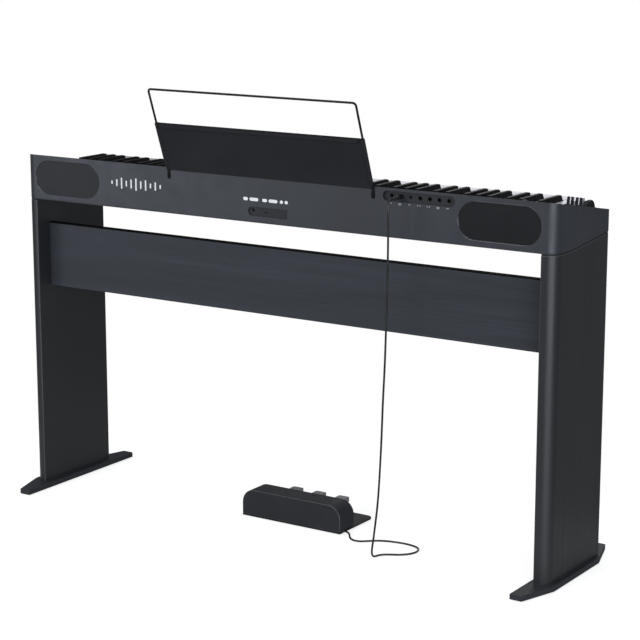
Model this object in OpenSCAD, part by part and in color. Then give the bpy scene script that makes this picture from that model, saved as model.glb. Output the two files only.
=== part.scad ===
// Digital piano on a three-board stand, with a wire music rest and a three-pedal unit.
// X runs along the keyboard to the treble end, -Y points at the player, +Z is up.
// The origin is on the floor, below the middle of the stand. "Left" is the player's left, at -X.

/* [Case] */
// Length of the piano case
case_w = 1322; // [1316:1:1330]
// Depth of the piano case
case_d = 232; // [230:1:236]
// Height of the case's rear top edge above the floor
rear_top_z = 772.8; // [772:0.1:774]
// Height of the case's front top edge above the floor
front_top_z = 731.8; // [731:0.1:733]
// Height of the case's rear bottom edge above the floor
rear_bottom_z = 673.3; // [672:0.1:674]
// Height of the case's front bottom edge above the floor
front_bottom_z = 687.2; // [684:0.1:689]
// Radius of the case's rear corners, seen from above
corner_r = 28; // [24:1:29]
// Thickness of the case's walls
wall = 3; // [2.5:0.5:3]

/* [Keys] */
// Distance from one white key to the next
key_pitch = 23.5; // [23.4:0.1:23.5]
// Gap between neighbouring keys
key_gap = 1; // [0.8:0.1:1.2]
// Height of the white keys' tops
white_top_z = 750.4; // [750:0.1:751]
// Height of a white key's front, from top to skirt
white_h = 19.5; // [19:0.1:20]
// Height of the black keys' tops
black_top_z = 762; // [761:0.5:763]
// Width of a black key at its foot
black_foot_w = 11.5; // [11:0.1:11.5]
// Width of a black key at its top
black_top_w = 9.2; // [8.8:0.1:9.6]
// How far a white key's front edge goes down
key_dip = 10; // [9:0.5:10]
// Distance of the key pivot behind the middle of the case
pivot_y = 64; // [63:1:65]

/* [Left cheek] */
// Distance of the cheek controls from the middle of the keyboard
cheek_x = 636; // [634:1:637]
// Diameter of the two control knobs
knob_d = 14; // [13:0.5:15]
// Height of the knobs above the cheek
knob_h = 16.5; // [15:0.5:18]
// Radius of the pitch wheel
wheel_r = 20.5; // [18:0.5:21]
// Thickness of the pitch wheel
wheel_w = 11; // [10:0.5:12]

/* [Rear panel] */
// Distance of each speaker's middle from the middle of the case
speaker_x = 539.6; // [538:0.2:541]
// Height of the speakers' middle
speaker_z = 723.8; // [723:0.2:725]
// Length of a speaker grille
grille_w = 183; // [180:1:184]
// Height of a speaker grille
grille_h = 77; // [75:1:78]
// Place of the jack recess's middle along the case
jack_x = -360; // [-362:1:-358]
// Height of the jack row
jack_z = 756.8; // [756.4:0.1:757]
// Length of the jack recess
jack_w = 164; // [162:1:165]
// Height of the jack recess
jack_h = 20.4; // [19:0.2:20.4]
// Distance from one jack to the next
jack_pitch = 21.7; // [21.5:0.1:21.8]
// Bore of a 6.35 mm phone jack
jack_bore_d = 6.5; // [6.4:0.05:6.5]

/* [Music rest] */
// Thickness of the rest's wire
wire_d = 4.6; // [4:0.1:5]
// Half of the distance between the rest's two legs
rest_half_w = 255.5; // [254:0.5:257]
// Height of the rest's top wire
rest_top_z = 944; // [935:1:950]
// How far the rest leans back from upright, in degrees
rest_lean = 20; // [18:1:21]
// Height of the rest's solid panel's top edge
panel_top_z = 872; // [868:1:876]

/* [Stand] */
// Thickness of the stand's side panels
side_t = 31; // [30:0.5:32]
// Length of a stand foot, front to back
foot_len = 376; // [370:1:380]
// Height of a foot's top above the floor
foot_top_z = 13; // [12:0.5:14]
// Thickness of the rear apron
apron_t = 16; // [15:0.5:18]
// Height of the apron's top edge
apron_top_z = 615.5; // [612:0.5:618]
// Height of the apron's bottom edge
apron_bottom_z = 470.7; // [468:0.1:474]

/* [Pedal unit] */
// Length of the pedal unit
pedal_w = 255; // [252:1:258]
// Height of the pedal unit's housing
pedal_h = 62.5; // [60:0.5:65]
// Distance between neighbouring pedals
pedal_pitch = 60.5; // [59:0.5:62]
// Width of a pedal
pedal_key_w = 25; // [21:0.5:26]
// Angle through which a pedal goes down
pedal_travel = 7; // [6:0.5:8]
// Diameter of the pedal unit's cord
cord_d = 4.2; // [4.1:0.1:4.4]

/* [Hidden] */
$fn = 48;
eps = 0.01;

half_w = case_w / 2;
half_d = case_d / 2;
top_slope = (rear_top_z - front_top_z) / case_d;
top_angle = atan(top_slope);
bottom_t = 2.5;
bend_y = 45;
bend_b = 14;
under_slope = (front_bottom_z - rear_bottom_z) / (bend_y + half_d);

white_count = 52;
key_count = 88;
keys_half = white_count * key_pitch / 2;
well_half = keys_half + 1;
rib_t = 2.5;
deck_y = 40;
white_front_y = -110.5;
black_front_y = -57;
cap_rear_y = 36.5;
key_rear_y = 70;
pivot_z = 738;
rod_d = 6;
run_fit = 0.05;
shell_t = 2;
hub_narrow = 2.5;
hub_y = 52;
key_angle = asin(key_dip / (pivot_y - white_front_y));
rail_top_z = 717.5;
felt_top_z = 720.8;
WHITE_RANK = [0, 0, 1, 1, 2, 3, 3, 4, 4, 5, 5, 6];

knob_y = [9, -28.5];
shaft_d = 5.9;
wheel_y = -73.5;
wheel_z = 733.5;
wheel_axle_d = 5;
button_x = -575;
button_y = 80;
button_d = 11;
button_stroke = 1.2;

jack_plate_y = 108.5;
jack_plate_t = 2;
jack_nose_y = 111.2;
jack_count = 7;
plug_index = 1;
small_index = 2;
port_x = [-48.6, 49.9];
port_z = 697;
port_h = 19;
dc_x = 38.6;
dc_z = 699;
usb_x = 6.5;
usb_z = 695.8;

rest_pivot_z = 760;
rest_bend_r = 7;
rest_insert = 30;
rest_top_s = (rest_top_z - rest_pivot_z) / cos(rest_lean);
panel_top_s = (panel_top_z - rest_pivot_z) / cos(rest_lean);
panel_low_s = 8.5;
panel_t = 2;
hem_d = 8.4;
hem_low_s = 18;
hem_half_w = rest_half_w + hem_d / 2;

leg_gap = 2.5;
side_in_x = half_w - side_t;
foot_in_x = 616;
foot_out_x = 670.5;
foot_tip_x = 643;
foot_bend_y = [-100, 102];
pad_t = 1.5;
apron_rear_y = 76;
apron_front_y = apron_rear_y - apron_t;

pedal_rear_y = 36.6;
pedal_front_y = -20;
pedal_base_y = -101;
pedal_round_r = 31;
pedal_front_r = 3;
base_top_z = 5.5;
housing_t = 2.5;
pedal_pivot_y = 22;
pedal_pivot_z = 32;
pedal_slot_w = pedal_key_w + 5;
pedal_shaft_d = 6;
gland_y = 28;
gland_z = 8;
board_z = 718.4;
contact_y = -32;
roof_n = wall * cos(top_angle) + eps;

plug_x = jack_x + (3 - plug_index) * jack_pitch - 0.9;

// The cord lies on the floor from the pedal unit's gland, turns back on itself and rises to its plug.
CORD = [
    [-134, 28, 8],
    [-140, 28, 7.6],
    [-146, 30.2, 6.2],
    [-151, 35, 4.3],
    [-156, 41.5, 2.9],
    [-163, 48.5, 2.3],
    [-175, 54, 2.3],
    [-189, 51.5, 2.3],
    [-203, 40, 2.3],
    [-218, 28.2, 2.3],
    [-236, 19.8, 2.3],
    [-256, 15.5, 2.3],
    [-276, 13.7, 2.3],
    [-296, 16, 2.3],
    [-312, 22.8, 2.3],
    [-321, 35.5, 2.3],
    [-322.5, 51, 2.3],
    [-317, 66, 2.3],
    [-304, 79.8, 2.3],
    [-288, 89.3, 2.3],
    [-275.5, 97.3, 2.3],
    [-268.3, 106.8, 2.3],
    [-266, 116.5, 2.5],
    [-265.6, 124, 4.8],
    [-265.8, 128.9, 10.3],
    [-266.5, 130.9, 18.5],
    [-268.6, 131.4, 33],
    [-273, 132.4, 60],
    [-283, 135, 133],
    [-291, 138, 236],
    [-298, 143, 340],
    [-305, 147, 442],
    [-312, 152, 600],
    [-316, 157, 690],
    [-317.2, 160, 724],
    [-317.5, 160.3, 737.5],
    [-317.5, 159, 747],
    [-317.5, 155.8, 752.9],
    [-317.5, 150.8, 756.2],
    [-317.5, 144, 756.8]
];

// ---------- functions ----------

// Height of the case's sloping top at a depth y
function top_z(y) = front_top_z + (y + half_d) * top_slope;

// Height of the case's underside: flat at the rear, bent up towards the front
function under_z(y) =
    y >= bend_y + bend_b ? rear_bottom_z :
    y <= bend_y - bend_b ? rear_bottom_z + under_slope * (bend_y - y) :
    rear_bottom_z + under_slope * pow(bend_y + bend_b - y, 2) / (4 * bend_b);

// Points along the underside from y0 to y1, lifted by up
function under_points(y0, y1, up) = [
    for (y = [y0, for (i = [0:6]) bend_y + bend_b * (i / 3 - 1), y1]) [y, under_z(y) + up]
];

// Octave and pitch class of key n, counted from A0 as key 0
function octave(n) = floor((n + 9) / 12);
function pitch_class(n) = (n + 9) % 12;
function is_black(n) = len(search(pitch_class(n), [1, 3, 6, 8, 10])) > 0;
function octave_x(o) = -keys_half + (7 * o - 5) * key_pitch;
function white_x(n) = octave_x(octave(n)) + WHITE_RANK[pitch_class(n)] * key_pitch;

// The five keys from C to E share three white widths evenly, the seven from F to B share four
function black_offset(pc) =
    pc < 5 ? (pc + 0.5) * 3 / 5 * key_pitch : (3 + (pc - 4.5) * 4 / 7) * key_pitch;
function black_x(n) = octave_x(octave(n)) + black_offset(pitch_class(n));

// Sides of a white key's head, and of its tail between the black keys
function head_x(n) = [white_x(n) + key_gap / 2, white_x(n) + key_pitch - key_gap / 2];
function tail_x(n) = [
    n > 0 && is_black(n - 1) ? black_x(n - 1) + black_foot_w / 2 + key_gap : head_x(n)[0],
    n < key_count - 1 && is_black(n + 1) ? black_x(n + 1) - black_foot_w / 2 - key_gap : head_x(n)[1]
];

// Middle of a key above its contact dome
function contact_x(n) = is_black(n) ? black_x(n) : (tail_x(n)[0] + tail_x(n)[1]) / 2;

function jack_at(i) = jack_x + (3 - i) * jack_pitch - 0.9;

// Catmull-Rom curve through a list of points, straight at both ends
function point_at(pts, i) =
    i < 0 ? 2 * pts[0] - pts[1] :
    i >= len(pts) ? 2 * pts[len(pts) - 1] - pts[len(pts) - 2] :
    pts[i];
function spline_at(a, b, c, d, t) = 0.5 * (2 * b + (c - a) * t + (2 * a - 5 * b + 4 * c - d) * t * t
    + (3 * b - a - 3 * c + d) * t * t * t);
function spline(pts, steps) = [
    for (i = [0:len(pts) - 2])
        for (j = [0:steps - 1])
            spline_at(point_at(pts, i - 1), pts[i], pts[i + 1], point_at(pts, i + 2), j / steps),
    pts[len(pts) - 1]
];
function unit(v) = v / norm(v);

// Height at which a round foot of radius r rests on the inside of the lower case
function floor_z(y, r) = under_z(y - r) + bottom_t;

// ---------- shared shapes ----------

// Extrudes a (y, z) outline along X
module along_x(x0, x1) {
    translate([x0, 0, 0])
        rotate([90, 0, 90])
            linear_extrude(x1 - x0)
                children();
}

// Extrudes an (x, z) outline along Y
module along_y(y0, y1) {
    translate([0, y1, 0])
        rotate([90, 0, 0])
            linear_extrude(y1 - y0)
                children();
}

module block(low, high) {
    translate(low)
        cube(high - low);
}

module rod_x(x0, x1, y, z, d) {
    translate([x0, y, z])
        rotate([0, 90, 0])
            cylinder(h = x1 - x0, d = d);
}

module rod_y(y0, y1, x, z, d) {
    translate([x, y1, z])
        rotate([90, 0, 0])
            cylinder(h = y1 - y0, d = d);
}

// A level slot shape, w wide and h high, about its middle
module stadium(w, h) {
    square([w - h, h], center = true);
    for (side = [-1, 1])
        translate([side * (w - h) / 2, 0])
            circle(d = h);
}

module stadium_y(y0, y1, x, z, w, h) {
    along_y(y0, y1)
        translate([x, z])
            stadium(w, h);
}

// Stands a shape on the case's sloping top, with its Z along the slope's normal
module on_top(x, y) {
    translate([x, y, top_z(y)])
        rotate([top_angle, 0, 0])
            children();
}

// Plan of the case, with its two rear corners rounded
module case_plan(inset) {
    x = half_w - inset;
    y = half_d - inset;
    r = corner_r - inset;
    translate([-x, -y])
        square([2 * x, 2 * y - r]);
    translate([r - x, -y])
        square([2 * (x - r), 2 * y]);
    for (side = [-1, 1])
        translate([side * (x - r), y - r])
            circle(r, $fn = 96);
}

// The case's wedge, cut in by inset and with its underside lifted by up
module case_block(inset, up, top_cut) {
    y = half_d - inset;
    intersection() {
        along_x(-half_w, half_w)
            polygon(concat(under_points(-y, y, up), [[y, top_z(y) - top_cut], [-y, top_z(-y) - top_cut]]));
        translate([0, 0, rear_bottom_z - 1])
            linear_extrude(rear_top_z - rear_bottom_z + 2)
                case_plan(inset);
    }
}

// ---------- stand ----------

module side_panel_plan() {
    square_d = case_d - corner_r;
    translate([side_in_x, -half_d])
        square([side_t, square_d]);
    translate([side_in_x, -half_d])
        square([side_t - corner_r, case_d]);
    intersection() {
        translate([half_w - corner_r, half_d - corner_r])
            circle(corner_r, $fn = 96);
        translate([side_in_x, -half_d])
            square([side_t, case_d]);
    }
}

module side_panel() {
    difference() {
        intersection() {
            translate([0, 0, foot_top_z])
                linear_extrude(rear_top_z)
                    side_panel_plan();
            along_x(side_in_x - 1, half_w + 1)
                polygon(concat(
                    under_points(-half_d, half_d, -leg_gap),
                    [[half_d, foot_top_z], [-half_d, foot_top_z]]
                ));
        }
        for (y = bolt_y)
            translate([bolt_x, y, under_z(y) - 45])
                cylinder(h = 60, d = 6.2);
        for (y = bolt_y)
            translate([bolt_x, y, foot_top_z - 1])
                cylinder(h = 41, d = 6.2);
        for (z = bracket_z)
            rod_x(side_in_x - 1, side_in_x + 14, apron_front_y - 12, z, 4.2);
    }
}

bolt_x = half_w - side_t / 2;
bolt_y = [-70, 70];
bracket_z = [apron_bottom_z + 30, apron_top_z - 30];

module side_panel_left() {
    color([0.20, 0.21, 0.23])
        mirror([1, 0, 0])
            side_panel();
}

module side_panel_right() {
    color([0.20, 0.21, 0.23])
        side_panel();
}

module foot() {
    half_len = foot_len / 2;
    difference() {
        translate([0, 0, pad_t])
            linear_extrude(foot_top_z - pad_t)
                polygon([
                    [foot_in_x, -half_len],
                    [foot_tip_x, -half_len],
                    [foot_out_x, foot_bend_y[0]],
                    [foot_out_x, foot_bend_y[1]],
                    [foot_tip_x, half_len],
                    [foot_in_x, half_len]
                ]);
        for (y = bolt_y) {
            translate([bolt_x, y, 0])
                cylinder(h = 20, d = 6.2);
            translate([bolt_x, y, 0])
                cylinder(h = 6, d = 13);
        }
    }
}

module foot_left() {
    color([0.20, 0.21, 0.23])
        mirror([1, 0, 0])
            foot();
}

module foot_right() {
    color([0.20, 0.21, 0.23])
        foot();
}

module rear_apron() {
    color([0.22, 0.23, 0.25])
        difference() {
            block([-side_in_x, apron_front_y, apron_bottom_z], [side_in_x, apron_rear_y, apron_top_z]);
            for (side = [-1, 1])
                for (z = bracket_z)
                    rod_y(apron_front_y - 1, apron_front_y + 10, side * (side_in_x - 14), z, 4.2);
        }
}

// Rubber pads below the feet and the pedal unit
module floor_pads() {
    color([0.08, 0.08, 0.08]) {
        for (side = [-1, 1])
            for (y = [-150, 0, 150])
                block([side * 632 - 8, y - 18, 0], [side * 632 + 8, y + 18, pad_t]);
        for (x = [-105, 105])
            for (y = [-84, 20])
                translate([x, y, 0])
                    cylinder(h = pad_t, d = 14);
    }
}

// Steel angle brackets that hold the apron to the side panels
module apron_brackets() {
    t = 2.5;
    arm = 22;
    h = 40;
    color([0.15, 0.15, 0.16])
        for (side = [0, 1])
            mirror([side, 0, 0])
                for (z = bracket_z)
                    difference() {
                        union() {
                            for (a = [[arm, t], [t, arm]])
                                block([side_in_x - a[0], apron_front_y - a[1], z - h / 2],
                                      [side_in_x, apron_front_y, z + h / 2]);
                        }
                        rod_y(apron_front_y - t - 1, apron_front_y + 1, side_in_x - 14, z, 4.2);
                        rod_x(side_in_x - t - 1, side_in_x + 1, apron_front_y - 12, z, 4.2);
                    }
}

// Bolts of the stand: case to legs, feet to legs, and the apron brackets' screws
module stand_bolts() {
    color([0.55, 0.56, 0.58])
        for (side = [0, 1])
            mirror([side, 0, 0]) {
                for (y = bolt_y) {
                    translate([bolt_x, y, under_z(y) - 40])
                        cylinder(h = 40 + bottom_t + 2, d = 6);
                    translate([bolt_x, y, floor_z(y, 6)])
                        cylinder(h = 4.5, d = 12);
                    translate([bolt_x, y, 5])
                        cylinder(h = 40, d = 6);
                    translate([bolt_x, y, 2.6])
                        cylinder(h = 3.4, d = 11);
                }
                for (z = bracket_z) {
                    rod_y(apron_front_y - 4.4, apron_front_y + 9, side_in_x - 14, z, 4);
                    rod_y(apron_front_y - 4.9, apron_front_y - 2.5, side_in_x - 14, z, 8);
                    rod_x(side_in_x - 4.4, side_in_x + 12, apron_front_y - 12, z, 4);
                    rod_x(side_in_x - 4.9, side_in_x - 2.5, apron_front_y - 12, z, 8);
                }
            }
}

// Thin rubber strips between the legs and the case, which leave a dark seam
module leg_top_pads() {
    y0 = -half_d + 0.8;
    y1 = half_d - 0.8;
    below = under_points(y0, y1, -leg_gap);
    above = under_points(y0, y1, 0);
    color([0.05, 0.05, 0.05])
        for (side = [0, 1])
            mirror([side, 0, 0])
                difference() {
                    intersection() {
                        along_x(side_in_x + 0.8, half_w)
                            polygon(concat(below, [for (i = [len(above) - 1:-1:0]) above[i]]));
                        translate([0, 0, rear_bottom_z - 10])
                            linear_extrude(40)
                                case_plan(0.8);
                    }
                    for (y = bolt_y)
                        translate([bolt_x, y, under_z(y) - 10])
                            cylinder(h = 20, d = 7);
                }
}

// ---------- case ----------

module lower_case() {
    y0 = -half_d;
    y1 = half_d;
    below = under_points(y0, y1, 0);
    above = under_points(y0, y1, bottom_t);
    color([0.23, 0.24, 0.26])
        difference() {
            intersection() {
                along_x(-half_w, half_w)
                    polygon(concat(below, [for (i = [len(above) - 1:-1:0]) above[i]]));
                translate([0, 0, rear_bottom_z - 1])
                    linear_extrude(40)
                        case_plan(0);
            }
            for (side = [-1, 1])
                for (y = bolt_y)
                    translate([side * bolt_x, y, under_z(y) - 5])
                        cylinder(h = 20, d = 6.2);
            for (p = SCREWS)
                translate([p[0], p[1], under_z(p[1]) - 5])
                    cylinder(h = 20, d = 3.4);
        }
}

screw_x = [-560, -280, 0, 280, 560];
screw_y = [-107.5, 104];
SCREWS = [for (x = screw_x) for (y = screw_y) [x, y]];

// Bosses on the inside of the rear wall that take the bottom screws
module screw_bosses() {
    z = rear_bottom_z + bottom_t;
    for (x = screw_x)
        difference() {
            union() {
                translate([x, screw_y[1], z])
                    cylinder(h = 6, d = 8);
                block([x - 1.5, screw_y[1], z], [x + 1.5, half_d - wall + 0.5, z + 6]);
            }
            translate([x, screw_y[1], z - 1])
                cylinder(h = 8, d = 3);
        }
}

module rear_openings() {
    y0 = half_d - wall - 1;
    y1 = half_d + 1;
    for (side = [-1, 1])
        stadium_y(y0, y1, side * speaker_x, speaker_z, grille_w, grille_h);
    stadium_y(y0, y1, jack_x, jack_z, jack_w, jack_h);
    along_y(y0, y1)
        port_outline(0);
    in_rest_plane()
        for (side = [-1, 1])
            translate([side * rest_half_w, -40, 0])
                rotate([-90, 0, 0])
                    linear_extrude(60)
                        stadium(7, 5.4);
    for (side = [-1, 1])
        along_y(y0, y1)
            translate([side * rest_half_w, rest_pivot_z - 4.5])
                rotate(90)
                    stadium(16, 9);
}

// The port recess: round at the treble end, square at the bass end
module port_outline(grow) {
    r = port_h / 2;
    translate([port_x[0] - grow, port_z - r - grow])
        square([port_x[1] - port_x[0] - r + grow, port_h + 2 * grow]);
    translate([port_x[1] - r, port_z])
        circle(r + grow);
}

module upper_case() {
    color([0.23, 0.24, 0.26]) {
        difference() {
            case_block(0, bottom_t, 0);
            difference() {
                case_block(wall, 0, wall);
                for (side = [-1, 1])
                    block([min(side * well_half, side * (well_half + rib_t)), -half_d, 600],
                          [max(side * well_half, side * (well_half + rib_t)), deck_y + 30, 800]);
                block([-well_half, deck_y, white_top_z + 3.6], [well_half, deck_y + rib_t, 800]);
            }
            block([-well_half, -half_d - 1, 600], [well_half, deck_y, 800]);
            rear_openings();
            for (y = knob_y)
                on_top(-cheek_x, y)
                    translate([0, 0, -10])
                        cylinder(h = 20, d = 7);
            block([-cheek_x - wheel_w / 2 - 1, wheel_y - 21, 725],
                  [-cheek_x + wheel_w / 2 + 1, wheel_y + 21, 770]);
            on_top(button_x, button_y)
                translate([0, 0, -10])
                    cylinder(h = 20, d = button_d + 0.8);
            panel_pocket();
        }
        screw_bosses();
    }
}

// The shallow pocket in the deck that the touch panel lies in
panel_y = [50, 108];
panel_t_deck = 1.2;

module panel_pocket() {
    len_s = (panel_y[1] - panel_y[0]) / cos(top_angle);
    on_top(0, panel_y[0])
        translate([-well_half + 12, 0, -panel_t_deck])
            cube([2 * well_half - 24, len_s, 5]);
}

module touch_panel() {
    fit = 0.3;
    len_s = (panel_y[1] - panel_y[0]) / cos(top_angle);
    color([0.03, 0.03, 0.035])
        difference() {
            on_top(0, panel_y[0])
                translate([-well_half + 12 + fit, fit, -panel_t_deck])
                    cube([2 * (well_half - 12 - fit), len_s - 2 * fit, panel_t_deck]);
            on_top(button_x, button_y)
                translate([0, 0, -10])
                    cylinder(h = 20, d = button_d + 0.8);
        }
}

// The slip in front of the keys, standing on the lower case
module front_rail() {
    y0 = -half_d;
    z0 = under_z(y0) + bottom_t;
    color([0.23, 0.24, 0.26])
        difference() {
            along_x(-well_half + 0.2, well_half - 0.2)
                polygon([
                    [y0, z0],
                    [y0 + 13, under_z(y0 + 13) + bottom_t],
                    [y0 + 13, under_z(y0 + 13) + bottom_t + 2.5],
                    [y0 + wall, under_z(y0 + wall) + bottom_t + 2.5],
                    [y0 + wall, top_z(y0 + wall)],
                    [y0, top_z(y0)]
                ]);
            for (x = screw_x)
                translate([x, screw_y[0], z0 - 5])
                    cylinder(h = 12, d = 3);
        }
}

// ---------- keys ----------

module white_key_plan(n, cut) {
    head = head_x(n);
    tail = tail_x(n);
    step_y = black_front_y - key_gap - cut;
    end_y = cut > 0 ? hub_y - 4 : hub_y;
    translate([head[0] + cut, white_front_y + 1 + cut])
        square([head[1] - head[0] - 2 * cut, step_y - white_front_y - 1 - cut]);
    translate([tail[0] + cut, white_front_y + 1 + cut])
        square([tail[1] - tail[0] - 2 * cut, end_y - white_front_y - 1 - cut]);
}

module white_key(n) {
    head = head_x(n);
    tail = tail_x(n);
    skirt_z = white_top_z - white_h;
    difference() {
        union() {
            translate([0, 0, skirt_z])
                linear_extrude(white_h)
                    white_key_plan(n, 0);
            block([head[0], white_front_y, white_top_z - 4], [head[1], white_front_y + 4, white_top_z]);
            block([tail[0] + hub_narrow, hub_y - 1, skirt_z],
                  [tail[1] - hub_narrow, key_rear_y, white_top_z - 4]);
        }
        difference() {
            translate([0, 0, skirt_z - 1])
                linear_extrude(white_h + 1 - 2.4)
                    white_key_plan(n, shell_t);
            block([head[0], contact_y - 1.5, 0], [head[1], contact_y + 1.5, 800]);
        }
        rod_x(head[0] - 1, head[1] + 1, pivot_y, pivot_z, rod_d + 2 * run_fit);
    }
}

module black_key(n) {
    x = black_x(n);
    skirt_z = white_top_z - white_h;
    foot_w = black_foot_w / 2;
    top_w = black_top_w / 2;
    shoulder_z = white_top_z - 2;
    difference() {
        intersection() {
            along_x(x - foot_w, x + foot_w)
                polygon([
                    [black_front_y, skirt_z],
                    [black_front_y + 1, shoulder_z],
                    [black_front_y + 6, black_top_z - 1.4],
                    [black_front_y + 8.5, black_top_z],
                    [cap_rear_y, black_top_z],
                    [cap_rear_y, shoulder_z],
                    [key_rear_y, shoulder_z],
                    [key_rear_y, skirt_z]
                ]);
            along_y(black_front_y - 1, key_rear_y + 1)
                polygon([
                    [x - foot_w, skirt_z],
                    [x + foot_w, skirt_z],
                    [x + foot_w, shoulder_z],
                    [x + top_w, black_top_z],
                    [x - top_w, black_top_z],
                    [x - foot_w, shoulder_z]
                ]);
        }
        for (y = [[black_front_y + 3, contact_y - 1.5], [contact_y + 1.5, hub_y - 4]])
            block([x - foot_w + shell_t, y[0], skirt_z - 1], [x + foot_w - shell_t, y[1], shoulder_z - 2]);
        rod_x(x - foot_w - 1, x + foot_w + 1, pivot_y, pivot_z, rod_d + 2 * run_fit);
    }
}

// All the keys of one pitch class, from the bass to the treble
module key_group(pc) {
    for (n = [0:key_count - 1])
        if (pitch_class(n) == pc) {
            if (is_black(n))
                black_key(n);
            else
                white_key(n);
        }
}

module white_group(pc) {
    color([0.93, 0.93, 0.93])
        key_group(pc);
}

module black_group(pc) {
    color([0.06, 0.06, 0.06])
        key_group(pc);
}

module keys_c() { white_group(0); }
module keys_c_sharp() { black_group(1); }
module keys_d() { white_group(2); }
module keys_d_sharp() { black_group(3); }
module keys_e() { white_group(4); }
module keys_f() { white_group(5); }
module keys_f_sharp() { black_group(6); }
module keys_g() { white_group(7); }
module keys_g_sharp() { black_group(8); }
module keys_a() { white_group(9); }
module keys_a_sharp() { black_group(10); }
module keys_b() { white_group(11); }

// Felt under the key fronts, and the strip between the deck's edge and the keys
module key_felts() {
    color([0.35, 0.05, 0.06]) {
        block([-keys_half + 4, -106, rail_top_z], [keys_half - 4, -94, felt_top_z]);
        block([-well_half + 0.5, deck_y - 1.8, white_top_z + 0.7],
              [well_half - 0.5, deck_y + rib_t, white_top_z + 3.6]);
    }
}

// Webs that carry the pivot rod stand at the ends and between each B and the C above it
WEBS = concat([for (o = [1:8]) octave_x(o)], []);

module key_chassis() {
    base_z = 694;
    plate_t = 3;
    web_t = 3;
    color([0.6, 0.62, 0.6])
        difference() {
            union() {
                block([-keys_half + 2, -106, base_z], [keys_half - 2, 74, base_z + plate_t]);
                block([-keys_half + 4, -106, base_z], [keys_half - 4, -94, rail_top_z]);
                for (x = WEBS)
                    block([x - web_t / 2, pivot_y - 9, base_z], [x + web_t / 2, pivot_y + 9, pivot_z + 5]);
                for (side = [-1, 1])
                    block([min(side * (keys_half - 2), side * (keys_half + 0.9)), pivot_y - 9, base_z],
                          [max(side * (keys_half - 2), side * (keys_half + 0.9)),
                           pivot_y + 9, pivot_z + 5]);
                for (x = screw_x)
                    for (y = [-80, 40])
                        translate([x, y, floor_z(y, 5)])
                            cylinder(h = base_z + 1 - floor_z(y, 5), d = 10);
                for (y = [contact_y - 17, contact_y + 13])
                    block([-keys_half + 10, y, base_z], [keys_half - 10, y + 4, board_z]);
            }
            rod_x(-well_half, well_half, pivot_y, pivot_z, rod_d);
        }
}

module key_pivot_rod() {
    color([0.7, 0.7, 0.72])
        rod_x(-well_half + 0.4, well_half - 0.4, pivot_y, pivot_z, rod_d);
}

// Contact board below the keys, with one rubber dome for each key
module contact_board() {
    color([0.1, 0.35, 0.18])
        block([-keys_half + 10, contact_y - 18, board_z],
              [keys_half - 10, contact_y + 18, board_z + 1.6]);
}

module contact_rubber() {
    color([0.25, 0.25, 0.26]) {
        block([-keys_half + 11, contact_y - 8, board_z + 1.6],
              [keys_half - 11, contact_y + 8, board_z + 3]);
        for (n = [0:key_count - 1])
            translate([contact_x(n), contact_y, board_z + 3])
                cylinder(h = 3.4, d1 = 7, d2 = 4.5, $fn = 16);
    }
}

// ---------- rear panel ----------

module speaker_grille(x) {
    color([0.08, 0.08, 0.09]) {
        stadium_y(half_d - wall, half_d - 1.2, x, speaker_z, grille_w - 0.6, grille_h - 0.6);
        difference() {
            stadium_y(half_d - wall - 2, half_d - wall, x, speaker_z, grille_w + 4, grille_h + 4);
            stadium_y(half_d - wall - 3, half_d - wall + eps, x, speaker_z, grille_w - 12, grille_h - 12);
        }
    }
}

module speaker_grille_left() { speaker_grille(-speaker_x); }
module speaker_grille_right() { speaker_grille(speaker_x); }

module speaker_driver(x) {
    y1 = half_d - wall - 2;
    color([0.12, 0.12, 0.13]) {
        difference() {
            stadium_y(y1 - 3, y1, x, speaker_z, grille_w, grille_h + 4);
            stadium_y(y1 - 4, y1 + 1, x, speaker_z, 128, 60);
        }
        stadium_y(y1 - 6, y1 - 3, x, speaker_z, 134, 66);
        stadium_y(y1 - 14, y1 - 6, x, speaker_z, 110, 52);
        stadium_y(y1 - 20, y1 - 14, x, speaker_z, 70, 40);
        rod_y(y1 - 32, y1 - 20, x, speaker_z, 52);
    }
}

module speaker_driver_left() { speaker_driver(-speaker_x); }
module speaker_driver_right() { speaker_driver(speaker_x); }

function nose_d(i) = i == small_index ? 7 : 9.4;
function bore_d(i) = i == small_index ? 3.6 : jack_bore_d;

module jack_plate() {
    color([0.15, 0.16, 0.17])
        difference() {
            stadium_y(jack_plate_y, half_d - wall, jack_x, jack_z, jack_w + 2, jack_h + 2);
            stadium_y(jack_plate_y + jack_plate_t, half_d, jack_x, jack_z, jack_w, jack_h);
            for (i = [0:jack_count - 1])
                rod_y(jack_plate_y - 1, half_d, jack_at(i), jack_z, nose_d(i) + 0.2);
        }
}

// Each socket is a body behind the plate with a round nose that shows in the recess
module jack_sockets() {
    color([0.04, 0.04, 0.04])
        for (i = [0:jack_count - 1])
            difference() {
                union() {
                    block([jack_at(i) - 6, 84, jack_z - 6], [jack_at(i) + 6, jack_plate_y, jack_z + 6]);
                    rod_y(jack_plate_y - 1, jack_nose_y, jack_at(i), jack_z, nose_d(i));
                }
                rod_y(90, jack_nose_y + 1, jack_at(i), jack_z, bore_d(i));
            }
}

module port_plate() {
    color([0.15, 0.16, 0.17])
        difference() {
            along_y(half_d - wall - 2, half_d - wall)
                port_outline(3);
            rod_y(half_d - 10, half_d, dc_x, dc_z, 8.6);
            block([usb_x - 4.9, half_d - 10, usb_z - 2.3], [usb_x + 4.9, half_d, usb_z + 2.3]);
        }
}

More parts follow.
